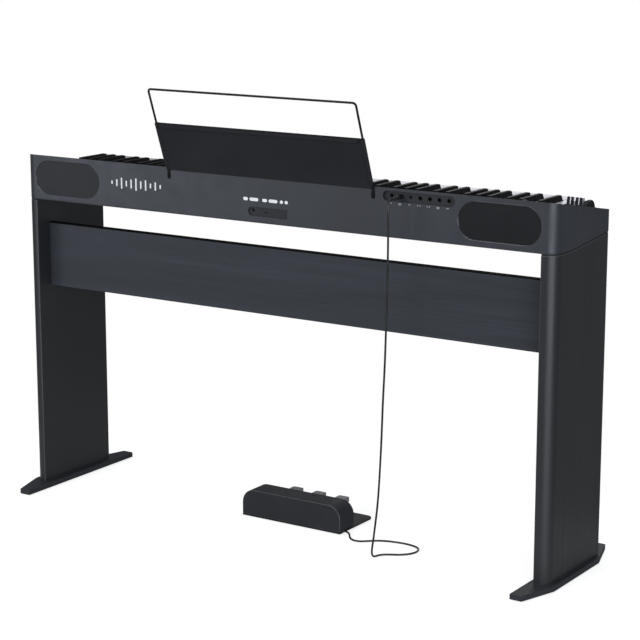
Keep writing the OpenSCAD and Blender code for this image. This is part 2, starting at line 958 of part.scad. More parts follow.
module port_sockets() {
    board_z = 686.1;
    color([0.04, 0.04, 0.04]) {
        difference() {
            union() {
                block([dc_x - 6, 96, board_z], [dc_x + 6, 110.5, dc_z + 6]);
                rod_y(110, 112, dc_x, dc_z, 8.4);
            }
            rod_y(99, 113, dc_x, dc_z, 5.6);
        }
        rod_y(98, 110, dc_x, dc_z, 2);
        difference() {
            union() {
                block([usb_x - 4.6, 98, board_z], [usb_x + 4.6, 110.5, usb_z + 2]);
                block([usb_x - 4.6, 110, usb_z - 2], [usb_x + 4.6, 112, usb_z + 2]);
            }
            block([usb_x - 3.9, 101, usb_z - 1.3], [usb_x + 3.9, 113, usb_z + 1.3]);
        }
    }
}

// Main board behind the ports and the small board under the jacks
module circuit_boards() {
    color([0.1, 0.35, 0.18]) {
        block([-140, 80, 684.5], [70, 110, 686.1]);
        for (p = [[-130, 82], [60, 82], [-130, 108], [60, 108]])
            translate([p[0], p[1] > 90 ? 104 : 86, rear_bottom_z + bottom_t])
                cylinder(h = 684.5 - rear_bottom_z - bottom_t, d = 6);
        for (c = [[-110, 88, 18], [-80, 90, 12], [-52, 88, 16], [-24, 92, 9]])
            block([c[0], c[1], 686.1], [c[0] + c[2], c[1] + c[2] * 0.8, 688.6]);
        block([jack_at(6) - 8, 82, jack_z - 8.1], [jack_at(0) + 8, 107, jack_z - 6]);
    }
}

// ---------- controls ----------

// The button stands through the deck and the touch panel, above its switch
module power_button() {
    color([0.3, 0.31, 0.33])
        on_top(button_x, button_y) {
            translate([0, 0, -6])
                cylinder(h = 7.6, d = button_d);
            translate([0, 0, -7.2])
                cylinder(h = 1.2, d = button_d + 3);
        }
}

module knob(y) {
    color([0.06, 0.06, 0.07])
        on_top(-cheek_x, y) {
            translate([0, 0, 0.5])
                cylinder(h = knob_h - 0.5, d = knob_d);
            translate([0, 0, -16])
                cylinder(h = 17, d = shaft_d);
        }
}

module knob_rear() { knob(knob_y[0]); }
module knob_front() { knob(knob_y[1]); }

// Potentiometers below the two knobs and the switch below the power button
module control_sensors() {
    color([0.3, 0.32, 0.36]) {
        for (y = knob_y)
            on_top(-cheek_x, y)
                difference() {
                    union() {
                        translate([-8.5, -8.5, -18])
                            cube([17, 17, 10]);
                        translate([0, 0, -9])
                            cylinder(h = 9 - roof_n, d = 10);
                    }
                    translate([0, 0, -16.6])
                        cylinder(h = 20, d = shaft_d + 2 * run_fit);
                }
        on_top(button_x, button_y) {
            translate([-6, -6, -12.5])
                cube([12, 12, 3.8]);
            translate([-10.5, -6, -14])
                cube([21, 12, 1.6]);
            for (side = [-1, 1])
                translate([side * 9.5 - 1, -6, -14])
                    cube([2, 12, 14 - roof_n]);
        }
    }
}

module pitch_wheel() {
    color([0.08, 0.08, 0.09])
        difference() {
            rod_x(-cheek_x - wheel_w / 2, -cheek_x + wheel_w / 2, wheel_y, wheel_z, 2 * wheel_r);
            rod_x(-cheek_x - wheel_w, -cheek_x + wheel_w, wheel_y, wheel_z, wheel_axle_d + 2 * run_fit);
            rod_x(-cheek_x - wheel_w, -cheek_x + wheel_w, wheel_y, wheel_z + wheel_r + 27.8, 60);
        }
}

module wheel_axle() {
    color([0.7, 0.7, 0.72])
        rod_x(-cheek_x - 11, -cheek_x + 11, wheel_y, wheel_z, wheel_axle_d);
}

function arm_top(y) = top_z(y) - wall / cos(top_angle) - 0.5;

// Two arms on a plate that carry the pitch wheel's axle, which snaps in from above
module wheel_bracket() {
    plate_z = 704;
    color([0.15, 0.15, 0.16])
        difference() {
            union() {
                block([-cheek_x - 11, wheel_y - 12, plate_z], [-cheek_x + 11, wheel_y + 12, plate_z + 3]);
                for (side = [-1, 1])
                    along_x(-cheek_x + side * 9 - 1.5, -cheek_x + side * 9 + 1.5)
                        polygon([
                            [wheel_y - 6, plate_z], [wheel_y + 6, plate_z],
                            [wheel_y + 6, arm_top(wheel_y + 6)], [wheel_y - 6, arm_top(wheel_y - 6)]
                        ]);
                for (y = [wheel_y - 8, wheel_y + 8])
                    translate([-cheek_x, y, floor_z(y, 3)])
                        cylinder(h = plate_z + 1 - floor_z(y, 3), d = 6);
            }
            rod_x(-cheek_x - 12, -cheek_x + 12, wheel_y, wheel_z, wheel_axle_d);
            block([-cheek_x - 12, wheel_y - wheel_axle_d / 2 + 0.5, wheel_z],
                  [-cheek_x + 12, wheel_y + wheel_axle_d / 2 - 0.5, wheel_z + 8]);
        }
}

// Pan-head screws up through the lower case
module case_screws() {
    color([0.5, 0.5, 0.52])
        for (p = SCREWS)
            translate([p[0], p[1], under_z(p[1] + 3.25)]) {
                translate([0, 0, -1.6])
                    cylinder(h = 1.6, d = 6.5);
                translate([0, 0, -1])
                    cylinder(h = 7.5, d = 3);
            }
}

// ---------- music rest ----------

// A plane that leans back by rest_lean: X is X, Y runs up the lean, +Z faces the player
module in_rest_plane() {
    translate([0, half_d, rest_pivot_z])
        rotate([90 - rest_lean, 0, 0])
            children();
}

module leg_rod(s0, s1, d) {
    for (side = [-1, 1])
        translate([side * rest_half_w, s0, 0])
            rotate([-90, 0, 0])
                cylinder(h = s1 - s0, d = d);
}

module rest_frame() {
    bend_s = rest_top_s - rest_bend_r;
    color([0.12, 0.12, 0.13])
        in_rest_plane() {
            leg_rod(-rest_insert, bend_s, wire_d);
            for (side = [0, 1])
                mirror([side, 0, 0])
                    translate([rest_half_w - rest_bend_r, bend_s, 0])
                        rotate_extrude(angle = 90)
                            translate([rest_bend_r, 0])
                                circle(d = wire_d);
            translate([-rest_half_w + rest_bend_r, rest_top_s, 0])
                rotate([0, 90, 0])
                    cylinder(h = 2 * (rest_half_w - rest_bend_r), d = wire_d);
        }
}

// Sheet panel with hems round the wires, a stiffening fold near its top and a ledge at its front
module rest_panel() {
    ledge_s = 15.5;
    color([0.13, 0.14, 0.15])
        in_rest_plane()
            difference() {
                union() {
                    block([-rest_half_w, panel_low_s, -panel_t / 2],
                          [rest_half_w, panel_top_s, panel_t / 2]);
                    leg_rod(hem_low_s, panel_top_s - 1, hem_d);
                    block([-246, panel_top_s - 4.5, -7], [246, panel_top_s - 3, 0]);
                    block([-246, panel_top_s - 8, -7], [246, panel_top_s - 3, -5.8]);
                    block([-235, ledge_s, 0], [235, ledge_s + 2, 24]);
                    block([-235, ledge_s, 22], [235, ledge_s + 9, 24]);
                }
                leg_rod(-10, panel_top_s + 10, wire_d + 0.2);
            }
}

// Tubes inside the case that the rest's legs stand in
module rest_sockets() {
    color([0.1, 0.1, 0.1])
        intersection() {
            in_rest_plane()
                difference() {
                    union() {
                        leg_rod(-rest_insert - 4, -10, 10);
                        for (side = [-1, 1])
                            block([side * rest_half_w - 4, -rest_insert - 4, -30],
                                  [side * rest_half_w + 4, -16, -3]);
                    }
                    leg_rod(-rest_insert - 1, 10, wire_d + 2 * run_fit);
                }
            block([-half_w, 40, 690], [half_w, half_d - wall, 768]);
        }
}

// ---------- pedal unit ----------

module pedal_base() {
    half = pedal_w / 2;
    r = 15;
    color([0.12, 0.12, 0.13])
        difference() {
            union() {
                translate([0, 0, pad_t])
                    linear_extrude(base_top_z - pad_t)
                        difference() {
                            union() {
                                translate([-half, pedal_base_y + r])
                                    square([2 * half, pedal_rear_y - pedal_base_y - r]);
                                translate([-half + r, pedal_base_y])
                                    square([2 * (half - r), 2 * r]);
                                for (side = [-1, 1])
                                    translate([side * (half - r), pedal_base_y + r])
                                        circle(r);
                            }
                        }
                for (x = PEDAL_POSTS)
                    block([x - 2, pedal_pivot_y - 7, base_top_z - 1],
                          [x + 2, pedal_pivot_y + 7, pedal_pivot_z + 7]);
            }
            rod_x(-half, half, pedal_pivot_y, pedal_pivot_z, pedal_shaft_d);
        }
}

PEDAL_POSTS = [for (i = [-1.5:1:1.5]) i * pedal_pitch];

// The housing's outer form, cut in by inset on its rounded sides
module housing_block(inset) {
    half = pedal_w / 2 - inset;
    top = pedal_h - inset;
    r = pedal_round_r - inset;
    front_r = max(0.4, pedal_front_r - inset);
    front = pedal_front_y + inset;
    rear = pedal_rear_y - inset;
    low = base_top_z - (inset > 0 ? 1 : 0);
    intersection() {
        along_y(front - 1, rear) {
            translate([-half, low])
                square([2 * half, top - r - low]);
            translate([-half + r, low])
                square([2 * (half - r), top - low]);
            for (side = [-1, 1])
                translate([side * (half - r), top - r])
                    circle(r, $fn = 96);
        }
        along_x(-half - 1, half + 1) {
            translate([front, low])
                square([rear - front, top - front_r - low]);
            translate([front + front_r, low])
                square([rear - front - front_r, top - low]);
            translate([front + front_r, top - front_r])
                circle(front_r, $fn = 48);
        }
    }
}

module pedal_housing() {
    color([0.18, 0.19, 0.20])
        difference() {
            housing_block(0);
            housing_block(housing_t);
            for (i = [-1:1])
                block([i * pedal_pitch - pedal_slot_w / 2, pedal_front_y - 1, base_top_z - 1],
                      [i * pedal_pitch + pedal_slot_w / 2, 8, 46]);
            rod_x(-pedal_w / 2 - 1, -pedal_w / 2 + 5, gland_y, gland_z, 7.2);
        }
}

// A pedal: a flat lever with a round toe, and a hub at its rear on the shaft
module pedal(i) {
    x = i * pedal_pitch;
    w = pedal_key_w;
    toe_y = -95;
    color([0.3, 0.3, 0.31])
        difference() {
            union() {
                intersection() {
                    along_x(x - w / 2, x + w / 2)
                        polygon([
                            [pedal_pivot_y, pedal_pivot_z - 5],
                            [pedal_pivot_y, pedal_pivot_z + 5],
                            [-24, 39.5],
                            [-58, 44.5],
                            [-82, 45.5],
                            [-91, 43],
                            [toe_y, 38],
                            [toe_y, 34.5],
                            [-90, 33],
                            [-24, 28.5]
                        ]);
                    translate([0, 0, 10])
                        linear_extrude(50) {
                            translate([x - w / 2, toe_y + w / 2])
                                square([w, pedal_pivot_y - toe_y]);
                            translate([x, toe_y + w / 2])
                                circle(w / 2);
                        }
                }
                rod_x(x - w / 2, x + w / 2, pedal_pivot_y, pedal_pivot_z, 13);
            }
            rod_x(x - w, x + w, pedal_pivot_y, pedal_pivot_z, pedal_shaft_d + 2 * run_fit);
        }
}

module pedal_left() { pedal(-1); }
module pedal_middle() { pedal(0); }
module pedal_right() { pedal(1); }

module pedal_shaft() {
    color([0.7, 0.7, 0.72])
        rod_x(PEDAL_POSTS[0] - 4, PEDAL_POSTS[3] + 4, pedal_pivot_y, pedal_pivot_z, pedal_shaft_d);
}

// Torsion springs wound round the shaft beside each pedal's hub
module pedal_springs() {
    coil_wire = 1.4;
    coil_r = 3.75;
    color([0.6, 0.6, 0.62])
        for (i = [-1:1])
            for (k = [0:4])
                translate([i * pedal_pitch + pedal_key_w / 2 + 3 + k * 1.5, pedal_pivot_y, pedal_pivot_z])
                    rotate([0, 90, 0])
                        rotate_extrude()
                            translate([coil_r, 0])
                                circle(d = coil_wire, $fn = 16);
}

// ---------- cord ----------

// Tapered strain relief on the housing's bass end
module cord_gland() {
    x0 = -pedal_w / 2;
    color([0.06, 0.06, 0.06])
        difference() {
            union() {
                translate([x0 + housing_t + 1.5, gland_y, gland_z])
                    rotate([0, -90, 0])
                        cylinder(h = 1.5, d = 11);
                translate([x0 + housing_t + 0.5, gland_y, gland_z])
                    rotate([0, -90, 0])
                        cylinder(h = housing_t + 7, d1 = 7, d2 = 5.4);
            }
            block([x0 - eps, gland_y - 10, -5], [x0 + 10, gland_y + 10, base_top_z]);
        }
}

CORD_SIDES = 10;

// A ring of points round p, at right angles to the direction d
function ring(p, d) = [
    let (a = unit(cross(d, [1, 1, 1])), b = cross(unit(d), a))
        for (k = [0:CORD_SIDES - 1])
            p + cord_d / 2 * (a * cos(360 * k / CORD_SIDES) + b * sin(360 * k / CORD_SIDES))
];

module tube(path) {
    n = len(path);
    rings = [for (i = [0:n - 1]) ring(path[i], path[min(n - 1, i + 1)] - path[max(0, i - 1)])];
    sides = [
        for (i = [0:n - 2])
            for (k = [0:CORD_SIDES - 1])
                let (a = i * CORD_SIDES, k1 = (k + 1) % CORD_SIDES)
                    [a + k, a + k1, a + CORD_SIDES + k1, a + CORD_SIDES + k]
    ];
    first = [for (k = [CORD_SIDES - 1:-1:0]) k];
    last = [for (k = [0:CORD_SIDES - 1]) (n - 1) * CORD_SIDES + k];
    polyhedron(points = [for (r = rings) for (p = r) p], faces = concat([first], sides, [last]));
}

module pedal_cord() {
    color([0.05, 0.05, 0.05])
        tube(spline(CORD, 2));
}

// Straight 6.35 mm phone plug with a tapered relief, in the second jack
module pedal_plug() {
    x = jack_at(plug_index);
    color([0.06, 0.06, 0.06])
        union() {
            rod_y(92, jack_nose_y + 1, x, jack_z, 6.3);
            rod_y(jack_nose_y, 127, x, jack_z, 10);
            translate([x, 127, jack_z])
                rotate([-90, 0, 0])
                    cylinder(h = 3, d = 8.6);
            translate([x, 130, jack_z])
                rotate([-90, 0, 0])
                    cylinder(h = 14, d1 = 7.8, d2 = 5.4);
        }
}

// ---------- drawing ----------

side_panel_left();
side_panel_right();
foot_left();
foot_right();
rear_apron();
floor_pads();
apron_brackets();
stand_bolts();
leg_top_pads();
lower_case();
upper_case();
front_rail();
touch_panel();
key_felts();
key_chassis();
key_pivot_rod();
contact_board();
contact_rubber();
keys_c();
keys_c_sharp();
keys_d();
keys_d_sharp();
keys_e();
keys_f();
keys_f_sharp();
keys_g();
keys_g_sharp();
keys_a();
keys_a_sharp();
keys_b();
speaker_grille_left();
speaker_grille_right();
speaker_driver_left();
speaker_driver_right();
jack_plate();
jack_sockets();
port_plate();
port_sockets();
circuit_boards();
power_button();
knob_rear();
knob_front();
control_sensors();
pitch_wheel();
wheel_axle();
wheel_bracket();
case_screws();
rest_frame();
rest_panel();
rest_sockets();
pedal_base();
pedal_housing();
pedal_left();
pedal_middle();
pedal_right();
pedal_shaft();
pedal_springs();
cord_gland();
pedal_cord();
pedal_plug();
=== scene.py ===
"""Looks of the digital piano on its stand.

Positions, outlines and profiles are in millimetres, in the row frame. Materials, lights and the floor are in
metres.
"""

import math

import bmesh
import bpy
from mathutils import Matrix, Vector


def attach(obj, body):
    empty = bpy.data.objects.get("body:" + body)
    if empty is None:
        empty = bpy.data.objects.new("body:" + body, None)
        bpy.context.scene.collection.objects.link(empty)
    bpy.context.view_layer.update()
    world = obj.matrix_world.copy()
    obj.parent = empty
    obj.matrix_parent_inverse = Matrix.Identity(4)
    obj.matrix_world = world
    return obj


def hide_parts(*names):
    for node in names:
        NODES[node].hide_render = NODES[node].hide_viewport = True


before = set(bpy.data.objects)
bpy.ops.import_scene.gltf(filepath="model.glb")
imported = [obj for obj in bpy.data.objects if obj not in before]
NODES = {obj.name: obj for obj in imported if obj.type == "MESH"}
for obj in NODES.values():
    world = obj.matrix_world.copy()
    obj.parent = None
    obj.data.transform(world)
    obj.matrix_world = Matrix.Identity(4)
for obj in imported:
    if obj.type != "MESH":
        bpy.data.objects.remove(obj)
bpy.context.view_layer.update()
ROOT = "case_and_stand"
MM = 0.001

# ---------- sizes shared with the CAD source ----------

HALF_D = 116.0
REAR_TOP = 772.8
FRONT_TOP = 731.8
TOP_SLOPE = (REAR_TOP - FRONT_TOP) / (2 * HALF_D)
TOP_ANGLE = math.atan(TOP_SLOPE)
SPEAKER_X = 539.6
SPEAKER_Z = 723.8
GRILLE_W = 183.0
GRILLE_H = 77.0
JACK_MID_X = -360.9
JACK_PITCH = 21.7
JACK_Z = 756.8
JACK_NOSE_Y = 111.2
JACK_XS = [JACK_MID_X + (3 - i) * JACK_PITCH for i in range(7)]
PLUG_JACK = 1
SMALL_JACK = 2
POWER_INLET_AT = (38.6, 112.0, 699.0)
DATA_PORT_AT = (6.5, 112.0, 695.8)
CHEEK_X = -636.0
KNOB_YS = {"rear": 9.0, "front": -28.5}
KNOB_R = 7.0
KNOB_H = 16.5
WHEEL_AT = (CHEEK_X, -73.5, 733.5)
WHEEL_R = 20.5
WHEEL_W = 11.0
BUTTON_AT = (-575.0, 80.0)
APRON_Y = 68.0
GLAND_AT = (-127.5, 28.0, 8.0)
CORD_D = 4.2
# The pedal cord's route, from the gland to the plug
CORD = [
    (-134, 28, 8),
    (-140, 28, 7.6),
    (-146, 30.2, 6.2),
    (-151, 35, 4.3),
    (-156, 41.5, 2.9),
    (-163, 48.5, 2.3),
    (-175, 54, 2.3),
    (-189, 51.5, 2.3),
    (-203, 40, 2.3),
    (-218, 28.2, 2.3),
    (-236, 19.8, 2.3),
    (-256, 15.5, 2.3),
    (-276, 13.7, 2.3),
    (-296, 16, 2.3),
    (-312, 22.8, 2.3),
    (-321, 35.5, 2.3),
    (-322.5, 51, 2.3),
    (-317, 66, 2.3),
    (-304, 79.8, 2.3),
    (-288, 89.3, 2.3),
    (-275.5, 97.3, 2.3),
    (-268.3, 106.8, 2.3),
    (-266, 116.5, 2.5),
    (-265.6, 124, 4.8),
    (-265.8, 128.9, 10.3),
    (-266.5, 130.9, 18.5),
    (-268.6, 131.4, 33),
    (-273, 132.4, 60),
    (-283, 135, 133),
    (-291, 138, 236),
    (-298, 143, 340),
    (-305, 147, 442),
    (-312, 152, 600),
    (-316, 157, 690),
    (-317.2, 160, 724),
    (-317.5, 160.3, 737.5),
    (-317.5, 159, 747),
    (-317.5, 155.8, 752.9),
    (-317.5, 150.8, 756.2),
    (-317.5, 144, 756.8),
]


# ---------- scene helpers ----------


def top_z(y):
    """Height of the sloping top at this depth."""
    return FRONT_TOP + (y + HALF_D) * TOP_SLOPE


def link_object(name, data):
    """Makes an object of the data and links it into the scene."""
    obj = bpy.data.objects.new(name, data)
    bpy.context.scene.collection.objects.link(obj)
    return obj


def look_along(obj, direction):
    """Turns a camera or a lamp to look in this direction."""
    obj.rotation_mode = "QUATERNION"
    obj.rotation_quaternion = direction.to_track_quat("-Z", "Y")


# ---------- camera ----------

CAMERA_AT = (-2304.0, 3426.0, 1345.0)
CAMERA_YAW = math.radians(33.31)
CAMERA_PITCH = math.radians(12.24)
SENSOR_WIDTH = 36.0
FOCAL_LENGTH = 111.0375


def make_camera():
    """The photo's view, from behind the bass end and above the case, pitched down to hold the feet."""
    data = bpy.data.cameras.new("camera")
    data.sensor_width = SENSOR_WIDTH
    data.lens = FOCAL_LENGTH
    data.clip_start = 0.1
    data.clip_end = 100.0
    cam = link_object("camera", data)
    cam.location = Vector(CAMERA_AT) * MM
    level = math.cos(CAMERA_PITCH)
    forward = (math.sin(CAMERA_YAW) * level, -math.cos(CAMERA_YAW) * level, -math.sin(CAMERA_PITCH))
    look_along(cam, Vector(forward))
    bpy.context.scene.camera = cam


make_camera()

# ---------- mesh helpers ----------

NORMAL_WEIGHT = 80
CORNER_STEPS = 6
SHARP_ANGLE = 50


def new_object(name, mesh, material, body=ROOT, smooth=False, bevel=0.0):
    """Makes a piece of the mesh: its material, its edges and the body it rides."""
    mesh.name = name
    obj = link_object(name, mesh)
    mesh.materials.append(material)
    if bevel > 0:
        add_bevel(obj, bevel)
    for p in mesh.polygons:
        p.use_smooth = smooth or bevel > 0
    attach(obj, body)
    return obj


def add_bevel(obj, width, segments=2, angle=30, clamp=True):
    """Rounds an object's edges with modifiers that keep its flat faces flat. Returns the bevel."""
    bevel = obj.modifiers.new("bevel", "BEVEL")
    bevel.width = width * MM
    bevel.segments = segments
    bevel.limit_method = "ANGLE"
    bevel.angle_limit = math.radians(angle)
    bevel.use_clamp_overlap = clamp
    normals = obj.modifiers.new("normals", "WEIGHTED_NORMAL")
    normals.keep_sharp = False
    normals.weight = NORMAL_WEIGHT
    return bevel


def split_edges(obj):
    """Keeps the sharp edges of a smooth piece crisp."""
    split = obj.modifiers.new("split", "EDGE_SPLIT")
    split.split_angle = math.radians(SHARP_ANGLE)


def add_vert(bm, place, u, v, h):
    """A new vertex at this point of the placed frame."""
    return bm.verts.new(place @ (Vector((u, v, h)) * MM))


def bridge(bm, a, b):
    """Fills the band between two rings of vertices. A ring of one vertex is a pole."""
    count = max(len(a), len(b))
    for k in range(count):
        k1 = (k + 1) % count
        if len(a) == 1:
            bm.faces.new((a[0], b[k], b[k1]))
        elif len(b) == 1:
            bm.faces.new((a[k], a[k1], b[0]))
        else:
            bm.faces.new((a[k], a[k1], b[k1], b[k]))


def mesh_from_bm(bm):
    """Turns all faces outwards and makes a mesh. The piece gives it its name."""
    bmesh.ops.recalc_face_normals(bm, faces=bm.faces)
    mesh = bpy.data.meshes.new("mesh")
    bm.to_mesh(mesh)
    bm.free()
    return mesh


def prisms(outlines, place, depth):
    """Closed outlines of (u, v) points, each a prism of this depth along the placed Z axis."""
    bm = bmesh.new()
    for outline in outlines:
        low = [add_vert(bm, place, u, v, 0.0) for u, v in outline]
        high = [add_vert(bm, place, u, v, depth) for u, v in outline]
        bm.faces.new(low[::-1])
        bm.faces.new(high)
        bridge(bm, low, high)
    return mesh_from_bm(bm)


def revolve(profile, place, count, radius_of=None, closed=False):
    """Turns a profile of (radius, height) points round the placed Z axis.

    radius_of(radius, height, angle) may shape it, and a closed profile joins its last point to its first.
    """
    bm = bmesh.new()
    rings = []
    for r, h in profile:
        if r == 0.0:
            rings.append([add_vert(bm, place, 0.0, 0.0, h)])
            continue
        ring = []
        for k in range(count):
            a = 2 * math.pi * k / count
            rr = radius_of(r, h, a) if radius_of else r
            ring.append(add_vert(bm, place, rr * math.cos(a), rr * math.sin(a), h))
        rings.append(ring)
    if closed:
        rings.append(rings[0])
    for a, b in zip(rings, rings[1:]):
        bridge(bm, a, b)
    return mesh_from_bm(bm)


def ring_sweep(outline, place, profile):
    """Sweeps a closed profile of (offset outwards, height) points round a closed outline."""
    n = len(outline)
    outwards = []
    for i in range(n):
        along = (Vector(outline[(i + 1) % n]) - Vector(outline[i - 1])).normalized()
        outwards.append((along.y, -along.x))
    bm = bmesh.new()
    rings = []
    for offset, h in profile:
        ring = []
        for (u, v), (out_u, out_v) in zip(outline, outwards):
            ring.append(add_vert(bm, place, u + out_u * offset, v + out_v * offset, h))
        rings.append(ring)
    for a, b in zip(rings, rings[1:] + rings[:1]):
        bridge(bm, a, b)
    return mesh_from_bm(bm)


def stadium(w, h, steps):
    """Outline of a level slot shape about the origin, as (u, v) points."""
    r = h / 2
    pts = []
    for side, start in ((1, -90), (-1, 90)):
        for k in range(steps + 1):
            a = math.radians(start + 180 * k / steps)
            pts.append((side * (w / 2 - r) + r * math.cos(a), r * math.sin(a)))
    return pts


def rounded(w, h, r):
    """Outline of a rectangle with round corners about the origin, as (u, v) points."""
    pts = []
    for side_u, side_v, start in ((1, 1, 0), (-1, 1, 90), (-1, -1, 180), (1, -1, 270)):
        for k in range(CORNER_STEPS + 1):
            a = math.radians(start + 90 * k / CORNER_STEPS)
            pts.append((side_u * (w / 2 - r) + r * math.cos(a), side_v * (h / 2 - r) + r * math.sin(a)))
    return pts


def shifted(outline, du, dv):
    """The outline, moved."""
    return [(u + du, v + dv) for u, v in outline]


def rear_place(x, y, z):
    """A frame on the rear wall: u runs to the bass side, v runs up, and Z points out of the wall."""
    return Matrix(((-1, 0, 0, x * MM), (0, 0, 1, y * MM), (0, 1, 0, z * MM), (0, 0, 0, 1)))


def deck_place(x, y, turn=0.0):
    """A frame on the sloping top, with Z along its normal, turned round Z."""
    at = Matrix.Translation(Vector((x, y, top_z(y))) * MM)
    return at @ Matrix.Rotation(TOP_ANGLE, 4, "X") @ Matrix.Rotation(turn, 4, "Z")


def along_place(at, degrees, axis):
    """A frame at this point, turned by this angle round one axis of the row frame."""
    return Matrix.Translation(Vector(at) * MM) @ Matrix.Rotation(math.radians(degrees), 4, axis)


def along_y_place(at):
    """Z of the frame points along +Y."""
    return along_place(at, -90, "X")


# ---------- materials ----------


def linear(level):
    """Linear value of one 8-bit sRGB level."""
    c = level / 255.0
    return c / 12.92 if c <= 0.04045 else ((c + 0.055) / 1.055) ** 2.4


def srgb(r, g, b):
    """A shader colour from 8-bit sRGB levels."""
    return (linear(r), linear(g), linear(b), 1.0)


def scaled(colour, factor):
    """The colour, lighter or darker by this factor."""
    return (*(min(1.0, c * factor) for c in colour[:3]), 1.0)


class Nodes:
    """A small builder for one material's node tree."""

    def __init__(self, name):
        self.mat = bpy.data.materials.new(name)
        self.mat.use_nodes = True
        self.tree = self.mat.node_tree
        self.tree.nodes.clear()
        self.out = self.add("ShaderNodeOutputMaterial")
        self.bsdf = self.add("ShaderNodeBsdfPrincipled")
        self.link(self.bsdf.outputs[0], self.out.inputs[0])
        self.coord = self.add("ShaderNodeTexCoord").outputs["Object"]

    def add(self, kind):
        """Makes a shader node."""
        return self.tree.nodes.new(kind)

    def link(self, a, b):
        """Joins an output to an input."""
        self.tree.links.new(a, b)

    def feed(self, value, socket):
        """Gives a socket a plain value, or the output of another node."""
        if isinstance(value, (int, float, tuple)):
            socket.default_value = value
        else:
            self.link(value, socket)

    def mapping(self, scale, rotation=(0, 0, 0)):
        """Object coordinates, scaled and turned."""
        m = self.add("ShaderNodeMapping")
        m.inputs["Scale"].default_value = scale
        m.inputs["Rotation"].default_value = rotation
        self.link(self.coord, m.inputs["Vector"])
        return m.outputs[0]

    def noise(self, scale, detail=3.0, rough=0.5, vector=None, distortion=0.0):
        """Soft noise over the object's own coordinates, or over others."""
        n = self.add("ShaderNodeTexNoise")
        n.inputs["Scale"].default_value = scale
        n.inputs["Detail"].default_value = detail
        n.inputs["Roughness"].default_value = rough
        n.inputs["Distortion"].default_value = distortion
        self.link(vector if vector is not None else self.coord, n.inputs["Vector"])
        return n.outputs["Fac"]

    def grid_distance(self, vector):
        """Distance to the nearest point of a regular grid with a pitch of one."""
        n = self.add("ShaderNodeTexVoronoi")
        n.feature = "F1"
        n.inputs["Scale"].default_value = 1.0
        n.inputs["Randomness"].default_value = 0.0
        self.link(vector, n.inputs["Vector"])
        return n.outputs["Distance"]

    def map(self, value, a0, a1, b0, b1):
        """The value, mapped from the range a0 to a1 onto b0 to b1 and held there."""
        n = self.add("ShaderNodeMapRange")
        n.clamp = True
        for i, v in enumerate((a0, a1, b0, b1)):
            n.inputs[1 + i].default_value = v
        self.link(value, n.inputs[0])
        return n.outputs[0]

    def spread(self, noise, low, high):
        """A noise, spread from its usual range onto low to high."""
        return self.map(noise, 0.3, 0.7, low, high)

    def math(self, op, a, b):
        """Sum, difference or the like of two outputs."""
        n = self.add("ShaderNodeMath")
        n.operation = op
        self.link(a, n.inputs[0])
        self.link(b, n.inputs[1])
        return n.outputs[0]

    def mix(self, fac, a, b):
        """A colour between two others."""
        n = self.add("ShaderNodeMix")
        n.data_type = "RGBA"
        self.link(fac, n.inputs["Factor"])
        for key, v in (("A", a), ("B", b)):
            self.feed(v, [s for s in n.inputs if s.name == key and s.type == "RGBA"][0])
        return [s for s in n.outputs if s.type == "RGBA"][0]

    def tone(self, noise, colour, low, high):
        """The colour, scaled between two factors by a noise."""
        return self.mix(self.spread(noise, 0.0, 1.0), scaled(colour, low), scaled(colour, high))

    def bump(self, height, strength, distance):
        """A normal that follows a height."""
        n = self.add("ShaderNodeBump")
        n.inputs["Strength"].default_value = strength
        n.inputs["Distance"].default_value = distance
        self.link(height, n.inputs["Height"])
        return n.outputs[0]

    def set(self, **values):
        """Sets or links inputs of the surface, named in lower case, and returns the material."""
        for key, v in values.items():
            self.feed(v, self.bsdf.inputs[key.replace("_", " ").title().replace("Ior", "IOR")])
        return self.mat


def moulded(name, colour, rough=0.42, grain=0.0006, bump=0.12, vary=0.12, specular=0.5):
    """Moulded plastic: a fine spark-eroded grain, slow changes of tone and slightly polished patches."""
    n = Nodes(name)
    slow = n.noise(7.0, 3.0)
    fine = n.noise(1.0 / grain, 2.0)
    patch = n.noise(24.0, 4.0)
    return n.set(
        base_color=n.tone(slow, colour, 1 - vary, 1 + vary),
        roughness=n.spread(patch, rough - 0.05, rough + 0.06),
        normal=n.bump(fine, bump, 0.00005),
        specular_ior_level=specular,
    )


def laminate(name, dark, light, grain_axis, rough, specular):
    """Printed wood laminate: broad soft bands, fine streaks and short pores, all along the grain."""
    n = Nodes(name)

    def stretched(across, along):
        """Coordinates with one scale across the grain and another along it."""
        s = [across, across, across]
        s["XYZ".index(grain_axis)] = along
        return n.mapping(tuple(s))

    bands = n.noise(1.0, 3.0, 0.55, stretched(16.0, 1.1), 1.1)
    streaks = n.noise(1.0, 5.0, 0.6, stretched(130.0, 2.6), 0.3)
    pores = n.noise(1.0, 2.0, 0.5, stretched(1300.0, 22.0))
    tone = n.math("ADD", n.spread(bands, 0.0, 0.6), n.spread(streaks, 0.0, 0.4))
    base = n.mix(tone, dark, light)
    pore = n.map(pores, 0.60, 0.70, 0.0, 0.55)
    height = n.math("SUBTRACT", n.map(streaks, 0.2, 0.8, 0.0, 0.5), pore)
    return n.set(
        base_color=n.mix(pore, base, scaled(dark, 0.55)),
        roughness=n.spread(streaks, rough - 0.04, rough + 0.08),
        normal=n.bump(height, 0.25, 0.00012),
        specular_ior_level=specular,
    )


